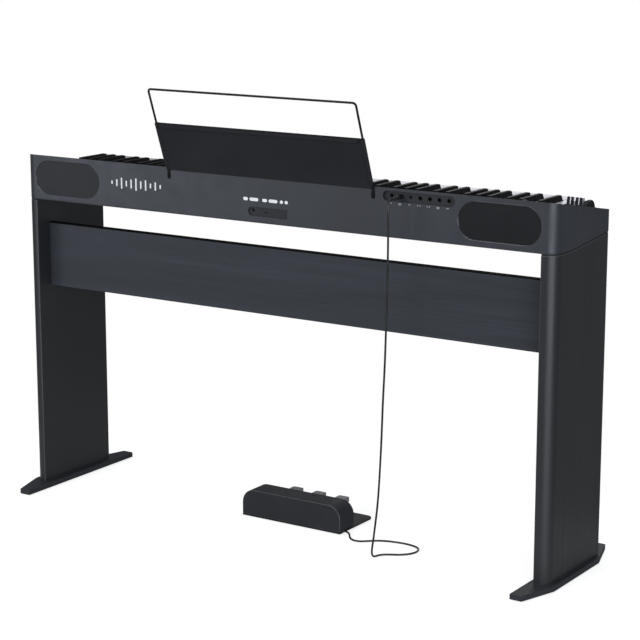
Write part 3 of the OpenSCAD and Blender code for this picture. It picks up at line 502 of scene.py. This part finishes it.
def metal(name, colour, rough, brushed=None):
    """Bare metal with smears, even all over or brushed along one axis."""
    n = Nodes(name)
    s = [900.0, 900.0, 900.0]
    if brushed:
        s["XYZ".index(brushed)] = 14.0
    lines = n.noise(1.0, 3.0, 0.6, n.mapping(tuple(s)))
    smear = n.noise(30.0, 3.0)
    return n.set(
        base_color=n.tone(lines, colour, 0.86, 1.06),
        metallic=1.0,
        roughness=n.spread(smear, rough - 0.06, rough + 0.08),
        normal=n.bump(lines, 0.12, 0.00003),
    )


def painted(name, colour, rough, specular=0.4):
    """Powder or spray coat on steel, with its slight orange peel."""
    n = Nodes(name)
    peel_size = 0.0012
    peel = n.noise(1.0 / peel_size, 2.0)
    slow = n.noise(9.0, 3.0)
    patch = n.noise(45.0, 3.0)
    return n.set(
        base_color=n.tone(slow, colour, 0.9, 1.1),
        roughness=n.spread(patch, rough - 0.05, rough + 0.06),
        normal=n.bump(peel, 0.1, 0.0001),
        specular_ior_level=specular,
    )


def key_top(name, colour, rough, bump, coat, specular):
    """Key plastic with a faint grain that runs along the key."""
    n = Nodes(name)
    grain = n.noise(1.0, 3.0, 0.5, n.mapping((1500.0, 90.0, 1500.0)))
    slow = n.noise(12.0, 2.0)
    return n.set(
        base_color=n.tone(slow, colour, 0.97, 1.02),
        roughness=n.spread(grain, rough - 0.04, rough + 0.06),
        normal=n.bump(grain, bump, 0.00004),
        coat_weight=coat,
        specular_ior_level=specular,
    )


def perforated(name, colour, hole, rough):
    """Steel sheet with round holes in staggered rows, seen along Y."""
    n = Nodes(name)
    pitch = 0.0026
    cell = n.grid_distance(n.mapping((1.0 / pitch, 0.0, 1.0 / pitch), (0.0, math.radians(45), 0.0)))
    in_hole = n.map(cell, 0.30, 0.36, 1.0, 0.0)
    slow = n.noise(10.0, 2.0)
    return n.set(
        base_color=n.mix(in_hole, n.tone(slow, colour, 0.9, 1.1), hole),
        roughness=n.map(in_hole, 0.0, 1.0, rough, 0.9),
        normal=n.bump(n.map(cell, 0.28, 0.40, 0.0, 1.0), 0.3, 0.0002),
        specular_ior_level=0.3,
    )


def fibre(name, colour):
    """Felt: a dull surface of fine fuzz."""
    n = Nodes(name)
    fuzz = n.noise(900.0, 6.0, 0.7)
    return n.set(
        base_color=n.tone(fuzz, colour, 0.6, 1.3),
        roughness=0.95,
        normal=n.bump(fuzz, 0.6, 0.0006),
    )


def rubber(name, colour, rough=0.6, specular=0.4):
    """Rubber or soft plastic with a little pale dust."""
    n = Nodes(name)
    grain = n.noise(700.0, 3.0)
    dust = n.noise(40.0, 5.0, 0.65)
    return n.set(
        base_color=n.mix(n.map(dust, 0.45, 0.8, 0.0, 0.35), colour, scaled(colour, 2.2)),
        roughness=n.spread(dust, rough - 0.05, rough + 0.1),
        normal=n.bump(grain, 0.25, 0.0001),
        specular_ior_level=specular,
    )


def ink(name, colour):
    """Printed ink, worn a little thin in places."""
    n = Nodes(name)
    wear = n.map(n.noise(260.0, 4.0, 0.6), 0.35, 0.75, 0.0, 0.25)
    return n.set(base_color=n.mix(wear, colour, scaled(colour, 0.7)), roughness=0.45)


CASE = moulded("case_plastic", srgb(43, 46, 53), 0.42)
LEG = laminate("leg_laminate", srgb(28, 30, 33), srgb(34, 36, 39), "Z", 0.40, specular=0.5)
FOOT = laminate("foot_laminate", srgb(47, 49, 53), srgb(54, 56, 61), "Y", 0.50, specular=0.18)
APRON = laminate("apron_laminate", srgb(45, 47, 50), srgb(57, 61, 69), "X", 0.45, specular=0.22)
RIM = moulded("grille_rim", srgb(43, 46, 53), 0.18, bump=0.02, specular=0.6)
# Near-black painted shade for the strip over the apron's top edge.
APRON_TOP_SHADE = moulded("apron_top_shade_black", srgb(8, 8, 9), 0.7, specular=0.05)
GLOSS = moulded("deck_gloss", srgb(14, 14, 15), 0.10, bump=0.02, vary=0.05)
RUBBER = rubber("pad_rubber", srgb(20, 20, 20))
SEAM = rubber("seam_rubber", srgb(8, 8, 8))
ZINC = metal("zinc_steel", srgb(170, 172, 176), 0.32, brushed="X")
BLACK_STEEL = painted("black_steel", srgb(33, 33, 35), 0.5, specular=0.2)
FELT = fibre("key_felt", srgb(120, 14, 22))
GREY = moulded("grey_plastic", srgb(120, 120, 118), 0.5)
BOARD = moulded("circuit_board", srgb(20, 78, 46), 0.35, grain=0.0009, bump=0.2)
SILICONE = rubber("contact_silicone", srgb(90, 90, 92), 0.5)
WHITE_KEY = key_top("white_key", srgb(204, 204, 218), 0.28, bump=0.1, coat=0.15, specular=0.5)
BLACK_KEY = key_top("black_key", srgb(22, 22, 24), 0.5, bump=0.15, coat=0.05, specular=0.1)
GRILLE = perforated("grille_sheet", srgb(21, 23, 27), srgb(13, 14, 17), 0.3)
DRIVER = painted("driver_black", srgb(20, 20, 21), 0.5)
RECESS = moulded("recess_black", srgb(42, 44, 49), 0.5, specular=0.25)
SOCKET = moulded("socket_black", srgb(12, 12, 13), 0.4, specular=0.3)
KNOB = moulded("knob_black", srgb(20, 20, 22), 0.5, bump=0.2, specular=0.3)
BUTTON = moulded("button_grey", srgb(70, 71, 75), 0.35)
REST = painted("rest_paint", srgb(38, 39, 42), 0.55, specular=0.1)
WIRE = painted("wire_paint", srgb(15, 16, 17), 0.38, specular=0.3)
PEDAL = metal("pedal_metal", srgb(165, 165, 168), 0.34, brushed="Y")
HOUSING = moulded("housing_plastic", srgb(48, 49, 53), 0.5, bump=0.2, specular=0.1)
# Lighter, glossier bevel materials: painted highlights along the edges of the pedal housing and the legs.
HOUSING_EDGE_HIGHLIGHT = moulded("housing_edge_highlight", srgb(66, 68, 73), 0.3, bump=0.1)
LEG_EDGE_HIGHLIGHT = moulded("leg_edge_highlight", srgb(64, 66, 71), 0.35)
JACKET = rubber("cord_jacket", srgb(15, 16, 17), 0.3, specular=0.6)
WHITE_INK = ink("white_ink", srgb(235, 236, 240))
GREY_INK = ink("grey_ink", srgb(150, 152, 158))
NICKEL = metal("nickel", srgb(190, 190, 188), 0.22)
DULL = metal("dull_steel", srgb(92, 93, 96), 0.4)

# ---------- CAD nodes ----------

WELD_DISTANCE = 0.004


def dress(name, material, bevel=0.0, segments=2, angle=30, edge_highlight=None, clamp=False):
    """Gives a CAD node its material and, with modifiers only, its small edge radius.

    The rounding may have a lighter, glossier material of its own: a painted highlight along the edge.
    """
    obj = NODES[name]
    if not obj.data.materials:
        obj.data.materials.append(material)
    for s in obj.material_slots:
        s.link = "OBJECT"
        s.material = material
    if bevel > 0:
        weld = obj.modifiers.new("weld", "WELD")
        weld.merge_threshold = WELD_DISTANCE * MM
        rounding = add_bevel(obj, bevel, segments, angle, clamp)
        rounding.loop_slide = False
        if edge_highlight is not None:
            obj.data.materials.append(edge_highlight)
            rounding.material = len(obj.material_slots) - 1


def dress_stand():
    """Legs, feet, apron and what holds them together."""
    for side in ("left", "right"):
        # The legs' bevels carry a painted highlight.
        dress(f"side_panel_{side}", LEG, 1.5, 3, edge_highlight=LEG_EDGE_HIGHLIGHT)
        dress(f"foot_{side}", FOOT, 0.9, 3)
    dress("rear_apron", APRON, 0.6)
    dress("floor_pads", RUBBER, 0.4)
    dress("apron_brackets", BLACK_STEEL, 0.4)
    dress("stand_bolts", ZINC, 0.4)
    dress("leg_top_pads", SEAM)


def dress_case():
    """The case, its panels, speakers, sockets and controls."""
    dress("lower_case", CASE, 0.7, clamp=True)
    dress("upper_case", CASE, 0.8, 3, clamp=True)
    dress("front_rail", CASE, 0.7, 3)
    dress("touch_panel", GLOSS, 0.15)
    for side in ("left", "right"):
        dress(f"speaker_grille_{side}", GRILLE, 0.5)
        dress(f"speaker_driver_{side}", DRIVER)
    dress("jack_plate", RECESS, 0.3)
    dress("jack_sockets", SOCKET, 0.25)
    dress("port_plate", RECESS, 0.2)
    dress("port_sockets", SOCKET, 0.2)
    dress("circuit_boards", BOARD)
    dress("power_button", BUTTON, 0.5, 3)
    dress("control_sensors", GREY)
    dress("wheel_axle", ZINC)
    dress("wheel_bracket", RECESS)
    dress("case_screws", ZINC, 0.5, 3)


def dress_keys():
    """The keys and the works below them."""
    for key in ("c", "d", "e", "f", "g", "a", "b"):
        dress(f"keys_{key}", WHITE_KEY, 0.6, 3)
    for key in ("c", "d", "f", "g", "a"):
        dress(f"keys_{key}_sharp", BLACK_KEY, 1.2, 4, angle=15)
    dress("key_felts", FELT)
    dress("key_chassis", GREY)
    dress("key_pivot_rod", ZINC)
    dress("contact_board", BOARD)
    dress("contact_rubber", SILICONE)


def dress_music_rest():
    """The wire rest with its sheet, and the tubes that hold it."""
    dress("rest_frame", WIRE)
    dress("rest_panel", REST, 0.35)
    dress("rest_sockets", RECESS)


def dress_pedal_unit():
    """The housing with its base and the three pedals."""
    dress("pedal_base", BLACK_STEEL, 0.7)
    # The housing's bevels carry a painted highlight.
    dress("pedal_housing", HOUSING, 1.5, 4, edge_highlight=HOUSING_EDGE_HIGHLIGHT)
    for which in ("left", "middle", "right"):
        dress(f"pedal_{which}", PEDAL, 1.3, 3, angle=25)
    dress("pedal_shaft", ZINC)
    dress("pedal_springs", ZINC)


dress_stand()
dress_case()
dress_keys()
dress_music_rest()
dress_pedal_unit()

# ---------- cord, plug and gland ----------


def spline_points(points, steps):
    """Catmull-Rom curve through the points, straight at both ends."""
    pts = [Vector(p) for p in points]
    pts = [2 * pts[0] - pts[1]] + pts + [2 * pts[-1] - pts[-2]]
    out = []
    for a, b, c, d in zip(pts, pts[1:], pts[2:], pts[3:]):
        for j in range(steps):
            t = j / steps
            square = 2 * a - 5 * b + 4 * c - d
            cube = 3 * b - a - 3 * c + d
            out.append(0.5 * (2 * b + (c - a) * t + square * t * t + cube * t**3))
    out.append(pts[-2])
    return out


def make_cord():
    """The cord's jacket along its route, and the length of that route in metres."""
    points = spline_points(CORD, 8)
    data = bpy.data.curves.new("pedal_cord_jacket", "CURVE")
    data.dimensions = "3D"
    data.bevel_depth = CORD_D / 2 * MM
    data.bevel_resolution = 6
    data.use_fill_caps = True
    line = data.splines.new("POLY")
    line.points.add(len(points) - 1)
    for p, q in zip(line.points, points):
        p.co = (*(q * MM), 1.0)
    line.use_smooth = True
    obj = link_object("pedal_cord_jacket", data)
    data.materials.append(JACKET)
    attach(obj, ROOT)
    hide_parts("pedal_cord")
    length = sum((b - a).length for a, b in zip(points, points[1:])) * MM
    return obj, length


def make_plug():
    """Straight phone plug: nickel pin with its ring and waist, moulded barrel and a segmented relief."""
    place = along_y_place((JACK_XS[PLUG_JACK], 0.0, JACK_Z))
    pin = [
        (0.0, 92.0), (1.4, 92.2), (2.6, 94.0), (2.9, 95.5), (2.3, 96.6), (2.3, 97.3), (3.1, 98.2),
        (3.15, 104.0), (2.9, 104.1), (2.9, 104.9), (3.15, 105.0), (3.15, 111.3), (0.0, 111.3),
    ]
    shaft = new_object("plug_pin", revolve(pin, place, 32), NICKEL, smooth=True)
    shell = [
        (0.0, 111.25), (4.3, 111.25), (4.9, 111.8), (5.0, 112.4), (5.0, 124.6), (4.85, 125.1),
        (4.55, 125.4), (4.55, 126.1), (4.8, 126.3), (4.8, 127.4), (4.4, 127.9), (4.1, 129.0),
    ]
    segments, segment_pitch = 6, 2.4
    for i in range(segments):
        h = 129.2 + i * segment_pitch
        r = 3.9 - (h - 129.0) * 0.088
        shell += [(r, h), (r, h + 1.5), (r - 0.55, h + 1.6), (r - 0.55, h + 2.3)]
    shell += [(2.75, 143.6), (2.65, 143.6), (2.15, 144.0), (0.0, 144.0)]
    body = new_object("plug_shell", revolve(shell, place, 40), JACKET, bevel=0.12)
    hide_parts("pedal_plug")
    return [shaft, body]


def make_gland():
    """Segmented strain relief on the housing's bass end, with its collar."""
    place = along_place(GLAND_AT, -90, "Y")
    profile = [
        (0.0, -3.0), (3.4, -3.0), (3.4, 0.02), (4.6, 0.05), (4.6, 0.8), (4.2, 1.05), (3.3, 1.15),
    ]
    segments, segment_pitch = 3, 1.35
    for i in range(segments):
        h = 1.4 + i * segment_pitch
        r = 3.2 - (h - 1.4) * 0.11
        profile += [(r, h), (r, h + 0.75), (r - 0.45, h + 0.85), (r - 0.45, h + 1.25)]
    profile += [(2.75, 5.45), (2.65, 6.35), (2.15, 6.5), (0.0, 6.5)]
    gland = new_object("gland_relief", revolve(profile, place, 36), JACKET, bevel=0.1)
    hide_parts("cord_gland")
    return gland


cord, cord_length = make_cord()
plug = make_plug()
gland = make_gland()

# ---------- controls on the left cheek ----------


def knob_cap(which, y):
    """Fluted cap with a skirt and a dished top."""
    r, h = KNOB_R, KNOB_H
    flutes, flute_depth = 20, 0.32

    def flute(radius, height, angle):
        """Cuts the flutes into the cap's side, between skirt and top."""
        if radius > 4 and 1.6 < height < h - 1.2:
            return radius - flute_depth * (0.5 + 0.5 * math.cos(flutes * angle)) ** 0.6
        return radius

    profile = [
        (0.0, -16.0), (2.95, -16.0), (2.95, 0.5), (r - 0.5, 0.5), (r, 0.9), (r, 1.5), (r - 0.15, 1.9),
        (r - 0.5, h - 1.4), (r - 0.65, h - 0.8), (r - 1.0, h - 0.3), (r - 1.6, h), (r - 2.2, h - 0.05),
        (r - 2.9, h - 0.45), (0.0, h - 0.6),
    ]
    mesh = revolve(profile, deck_place(CHEEK_X, y), 120, flute)
    cap = new_object(f"knob_{which}_cap", mesh, KNOB, body=f"{which}_knob", smooth=True)
    split_edges(cap)
    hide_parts(f"knob_{which}")


def knob_pointer_highlight(which, y):
    """White line up a knob's side and over its rim, turned mostly to the rear: partly a pointer mark, partly
    a painted highlight for the shine down the knob's side.
    """
    r, h = KNOB_R, KNOB_H
    half_width, under, down = 0.75, 0.35, 0.1
    place = deck_place(CHEEK_X, y, math.radians(116))
    line = [
        (r + 0.02, 1.6), (r - 0.12, 2.2), (r - 0.44, h - 1.4), (r - 0.6, h - 0.75), (r - 0.95, h - 0.22),
        (r - 1.6, h + 0.04), (r - 2.2, h), (r - 2.9, h - 0.4), (1.6, h - 0.52),
    ]
    bm = bmesh.new()
    rings = []
    for u, v in line:
        top = [add_vert(bm, place, u, side, v) for side in (-half_width, half_width)]
        low = [add_vert(bm, place, u - under, side, v - down) for side in (half_width, -half_width)]
        rings.append(top + low)
    for a, b in zip(rings, rings[1:]):
        bridge(bm, a, b)
    bm.faces.new(rings[0])
    bm.faces.new(rings[-1])
    # The white line doubles as a painted highlight down the knob's side.
    new_object(f"knob_{which}_pointer", mesh_from_bm(bm), WHITE_INK, body=f"{which}_knob")


def make_wheel():
    """Pitch wheel with a ribbed rim, rounded edges and a wide, shallow finger rest on top."""
    r, w = WHEEL_R, WHEEL_W
    rest_radius, rest_half_angle, rest_half_width = 30.0, 0.55, 8.5
    rest_centre = r + 27.8
    ribs, rib_depth = 60, 0.22
    up = math.pi

    def rim(radius, height, angle):
        """Cuts the finger rest and the ribs into the wheel's rim."""
        if radius < r - 4.5:
            return radius
        d = (angle - up + math.pi) % (2 * math.pi) - math.pi
        cut = 0.0
        if abs(d) < rest_half_angle:
            reach = math.sqrt(rest_radius**2 - (rest_centre * math.sin(d)) ** 2)
            cut = max(0.0, r - rest_centre * math.cos(d) + reach)
        ribbed = abs(d) * r >= rest_half_width and 1.6 < height < w - 1.6
        rib = rib_depth * (0.5 + 0.5 * math.cos(ribs * angle)) if ribbed else 0.0
        return radius - cut - rib

    profile = [
        (2.55, 0.2), (6.0, 0.2), (6.4, 0.0), (r - 3.5, 0.0), (r - 1.6, 0.1), (r - 0.7, 0.5),
        (r - 0.15, 1.2), (r, 2.0), (r, w - 2.0), (r - 0.15, w - 1.2), (r - 0.7, w - 0.5),
        (r - 1.6, w - 0.1), (r - 3.5, w), (6.4, w), (6.0, w - 0.2), (2.55, w - 0.2),
    ]
    x, y, z = WHEEL_AT
    mesh = revolve(profile, along_place((x - w / 2, y, z), 90, "Y"), 240, rim, closed=True)
    wheel = new_object("pitch_wheel_rim", mesh, KNOB, body="wheel", smooth=True)
    split_edges(wheel)
    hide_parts("pitch_wheel")


def wheel_lip():
    """Raised lip round the wheel's slot."""
    width, length, corner = 15.6, 44.6, 3.0
    outline = rounded(width, length, corner)
    profile = [(0.0, -0.2), (1.1, -0.2), (1.1, 0.25), (0.8, 0.5), (0.3, 0.5), (0.0, 0.3)]
    mesh = ring_sweep(outline, deck_place(CHEEK_X, WHEEL_AT[1]), profile)
    new_object("wheel_slot_lip", mesh, RECESS, bevel=0.1)


for which, y in KNOB_YS.items():
    knob_cap(which, y)
    knob_pointer_highlight(which, y)
make_wheel()
wheel_lip()

# ---------- rear panel details ----------

LEVEL_MARK_AT = (346.0, HALF_D, 728.0)
DASH_MARK_AT = (8.0, HALF_D, 722.0)
JACK_MARKS_AT = (0.0, HALF_D, 743.2)


def speaker_rims():
    """Smooth rim round each grille."""
    outline = stadium(GRILLE_W, GRILLE_H, 40)
    profile = [
        (-1.4, -1.3), (-1.1, -0.6), (-0.5, -0.1), (0.1, 0.12), (0.6, 0.1), (0.9, -0.05), (0.9, -0.6),
        (-0.6, -1.6),
    ]
    for side, x in (("left", -SPEAKER_X), ("right", SPEAKER_X)):
        mesh = ring_sweep(outline, rear_place(x, HALF_D, SPEAKER_Z), profile)
        new_object(f"grille_rim_{side}", mesh, RIM, smooth=True)


def jack_marks():
    """A plain mark below each socket: one bar, two bars, a short bar or two dots."""
    bar = rounded(7.0, 1.5, 0.7)
    dot = rounded(2.4, 2.4, 1.1)
    one_bar = [shifted(rounded(6.0, 1.5, 0.7), 0.0, -0.6)]
    two_bars = [bar, shifted(bar, 0.0, -2.6)]
    short_bar = [shifted(stadium(4.4, 1.5, 8), 0.0, -0.6)]
    two_dots = [shifted(dot, -2.6, -0.6), shifted(dot, 2.6, -0.6)]
    outlines = []
    for x, mark in zip(JACK_XS, (one_bar, two_bars, short_bar, two_dots, two_dots, two_bars, one_bar)):
        outlines += [shifted(outline, -x, 0.0) for outline in mark]
    mesh = prisms(outlines, rear_place(*JACK_MARKS_AT), 0.06)
    new_object("jack_marks", mesh, GREY_INK)


def level_mark():
    """Plain ornament on the rear wall: a row of level bars."""
    pitch = 13.2
    heights = (8, 15, 24, 13, 20, 27, 17, 23, 11, 18, 9)
    middle = len(heights) // 2
    bars = [shifted(rounded(3.6, h, 1.7), (i - middle) * pitch, 0.0) for i, h in enumerate(heights)]
    new_object("level_mark", prisms(bars, rear_place(*LEVEL_MARK_AT), 0.08), WHITE_INK)


def dash_mark():
    """Plain ornament on the rear wall: a row of dots and dashes, as (place along the row, width)."""
    dashes = ((-48, 12), (-27, 22), (0, 12), (21, 22), (42, 8), (54, 8))
    shapes = [shifted(stadium(w, 7.0, 10), u, 0.0) for u, w in dashes]
    new_object("dash_mark", prisms(shapes, rear_place(*DASH_MARK_AT), 0.08), WHITE_INK)


def jack_rings():
    """Rounded nose round each open jack. The plug covers its own."""
    for i, x in enumerate(JACK_XS):
        if i == PLUG_JACK:
            continue
        outer, inner = (3.5, 1.95) if i == SMALL_JACK else (4.7, 3.35)
        profile = [
            (inner, -1.4), (inner, -0.3), (inner + 0.3, 0.05), (outer - 0.6, 0.05), (outer - 0.15, -0.1),
            (outer - 0.02, -0.5), (outer - 0.02, -1.4),
        ]
        mesh = revolve(profile, along_y_place((x, JACK_NOSE_Y, JACK_Z)), 40, closed=True)
        new_object(f"jack_ring_{i + 1}", mesh, SOCKET, smooth=True)


def power_inlet():
    """Nose and centre pin of the power inlet."""
    place = along_y_place(POWER_INLET_AT)
    ring = [(2.85, -1.5), (2.85, -0.2), (3.1, 0.1), (3.9, 0.15), (4.2, -0.1), (4.2, -1.5)]
    mesh = revolve(ring, place, 40, closed=True)
    new_object("power_inlet_ring", mesh, RECESS, smooth=True)
    tip = [(0.0, -12.0), (1.02, -12.0), (1.02, -0.7), (0.7, -0.3), (0.0, -0.25)]
    new_object("power_inlet_pin", revolve(tip, place, 20), DULL, smooth=True)


def data_port():
    """Steel shell of the data port, with the tongue inside."""
    x, y, z = DATA_PORT_AT
    depth = 6.0
    profile = [(-0.7, -depth), (-0.7, 0.15), (-0.1, 0.15), (-0.1, -depth)]
    shell = ring_sweep(rounded(9.0, 3.8, 1.6), rear_place(x, y, z), profile)
    new_object("data_port_shell", shell, DULL, bevel=0.05)
    tongue = prisms([rounded(6.2, 0.9, 0.3)], rear_place(x, y - depth, z), 5.4)
    new_object("data_port_tongue", tongue, SOCKET, bevel=0.1)


speaker_rims()
jack_marks()
level_mark()
dash_mark()
jack_rings()
power_inlet()
data_port()

# ---------- deck and apron details ----------

TOUCH_ROW_Y = 76.0
BAND_Z = 613.6


def touch_marks():
    """Plain marks on the gloss inlay: groups of dots and short bars, a row of dots and a line below it."""
    groups_x, group_pitch, mark_pitch = -470, 118, 19
    row_x, row_pitch = 190, 15
    line_x = 250
    bar = stadium(7.0, 1.6, 6)
    dot = rounded(3.6, 3.6, 1.7)
    small_dot = rounded(2.2, 2.2, 1.0)
    dots, bars = [], []
    for group in range(4):
        for k in range(5):
            x = groups_x + group * group_pitch + k * mark_pitch
            if k % 2:
                bars.append(shifted(bar, x, 0.0))
            else:
                dots.append(shifted(dot, x, 0.0))
    dots += [shifted(small_dot, row_x + k * row_pitch, 0.0) for k in range(9)]
    bars.append(shifted(stadium(128.0, 0.9, 6), line_x, -6.0))
    mesh = prisms(dots + bars, deck_place(0.0, TOUCH_ROW_Y), 0.05)
    new_object("touch_marks", mesh, GREY_INK)


def button_mark():
    """Plain white ring on the power button."""
    ring = [(1.9, 1.6), (2.5, 1.6), (2.5, 1.68), (1.9, 1.68)]
    mesh = revolve(ring, deck_place(*BUTTON_AT), 40, closed=True)
    new_object("button_mark", mesh, WHITE_INK, body="button")


def make_apron_top_shade():
    """Near-black strip on the apron's top edge, a shade wider than the board: painted shade for the dark
    look of the board's top face.
    """
    width, depth, height, corner = 1258.0, 16.5, 2.2, 0.8
    place = Matrix.Translation(Vector((0.0, APRON_Y, BAND_Z)) * MM)
    mesh = prisms([rounded(width, depth, corner)], place, height)
    new_object("apron_top_painted_shade", mesh, APRON_TOP_SHADE, bevel=0.25)


touch_marks()
button_mark()
make_apron_top_shade()

# ---------- floor, light and background ----------

FLOOR_SCALE = (1.15, 0.75, 1.0)
FLOOR_AT = (0.05, 0.2, -0.0006)
FLOOR_GREY = (0.60, 0.60, 0.60, 1.0)
FLOOR_GLOW = 0.74
BACKDROP_TINT = (0.94, 0.97, 1.0, 1.0)
BACKDROP_LIGHT = 0.20
WHITE = (1.0, 1.0, 1.0, 1.0)


def make_stage():
    """A pale floor that only the camera sees as bright as the backdrop."""
    bm = bmesh.new()
    bmesh.ops.create_circle(bm, cap_ends=True, cap_tris=False, segments=128, radius=1.0)
    bmesh.ops.scale(bm, verts=bm.verts, vec=FLOOR_SCALE)
    bmesh.ops.translate(bm, verts=bm.verts, vec=FLOOR_AT)
    mesh = bpy.data.meshes.new("floor")
    bm.to_mesh(mesh)
    bm.free()
    floor = link_object("floor", mesh)
    n = Nodes("floor_pale")
    n.set(base_color=FLOOR_GREY, roughness=0.9, specular_ior_level=0.0)
    glow = n.add("ShaderNodeEmission")
    glow.inputs[1].default_value = FLOOR_GLOW
    both = n.add("ShaderNodeAddShader")
    n.link(n.bsdf.outputs[0], both.inputs[0])
    n.link(glow.outputs[0], both.inputs[1])
    path = n.add("ShaderNodeLightPath")
    choice = n.add("ShaderNodeMixShader")
    n.link(path.outputs["Is Camera Ray"], choice.inputs[0])
    n.link(n.bsdf.outputs[0], choice.inputs[1])
    n.link(both.outputs[0], choice.inputs[2])
    n.link(choice.outputs[0], n.out.inputs[0])
    mesh.materials.append(n.mat)


def make_backdrop():
    """A backdrop that looks white to the camera and lights the piano dimly."""
    world = bpy.data.worlds.new("world")
    bpy.context.scene.world = world
    world.use_nodes = True
    tree = world.node_tree
    back = tree.nodes["Background"]
    back.inputs[0].default_value = BACKDROP_TINT
    back.inputs[1].default_value = BACKDROP_LIGHT
    seen = tree.nodes.new("ShaderNodeBackground")
    seen.inputs[0].default_value = WHITE
    seen.inputs[1].default_value = 1.0
    path = tree.nodes.new("ShaderNodeLightPath")
    mix = tree.nodes.new("ShaderNodeMixShader")
    tree.links.new(path.outputs["Is Camera Ray"], mix.inputs[0])
    tree.links.new(back.outputs[0], mix.inputs[1])
    tree.links.new(seen.outputs[0], mix.inputs[2])
    tree.links.new(mix.outputs[0], tree.nodes["World Output"].inputs[0])


def area_light(name, at, target, size, power, colour=(1, 1, 1)):
    """A softbox that the camera doesn't see."""
    data = bpy.data.lights.new(name, "AREA")
    data.shape = "RECTANGLE"
    data.size, data.size_y = size
    data.energy = power
    data.color = colour
    lamp = link_object(name, data)
    lamp.location = at
    look_along(lamp, Vector(target) - Vector(at))
    lamp.visible_camera = False


def make_lights():
    """Softboxes round the piano: each place, target and size in metres, then its power in watts."""
    area_light("key_light", (0.9, 4.4, 2.2), (0.2, 0.0, 0.6), (2.4, 1.8), 82.0)
    area_light("end_light", (2.4, 2.4, 0.5), (0.6, 0.1, 0.7), (1.3, 1.1), 12.0, (0.86, 0.92, 1.0))
    area_light("side_light", (-3.6, 2.5, 0.7), (-0.66, 0.1, 0.4), (2.8, 2.3), 108.0, (0.9, 0.95, 1.0))
    area_light("top_light", (0.0, 0.4, 4.0), (0.0, 0.0, 0.0), (3.6, 3.0), 55.0)
    area_light("front_light", (0.8, -4.2, 1.6), (0.0, 0.0, 0.6), (3.0, 1.8), 20.0)


make_stage()
make_backdrop()
make_lights()
bpy.context.scene.view_settings.view_transform = "Standard"
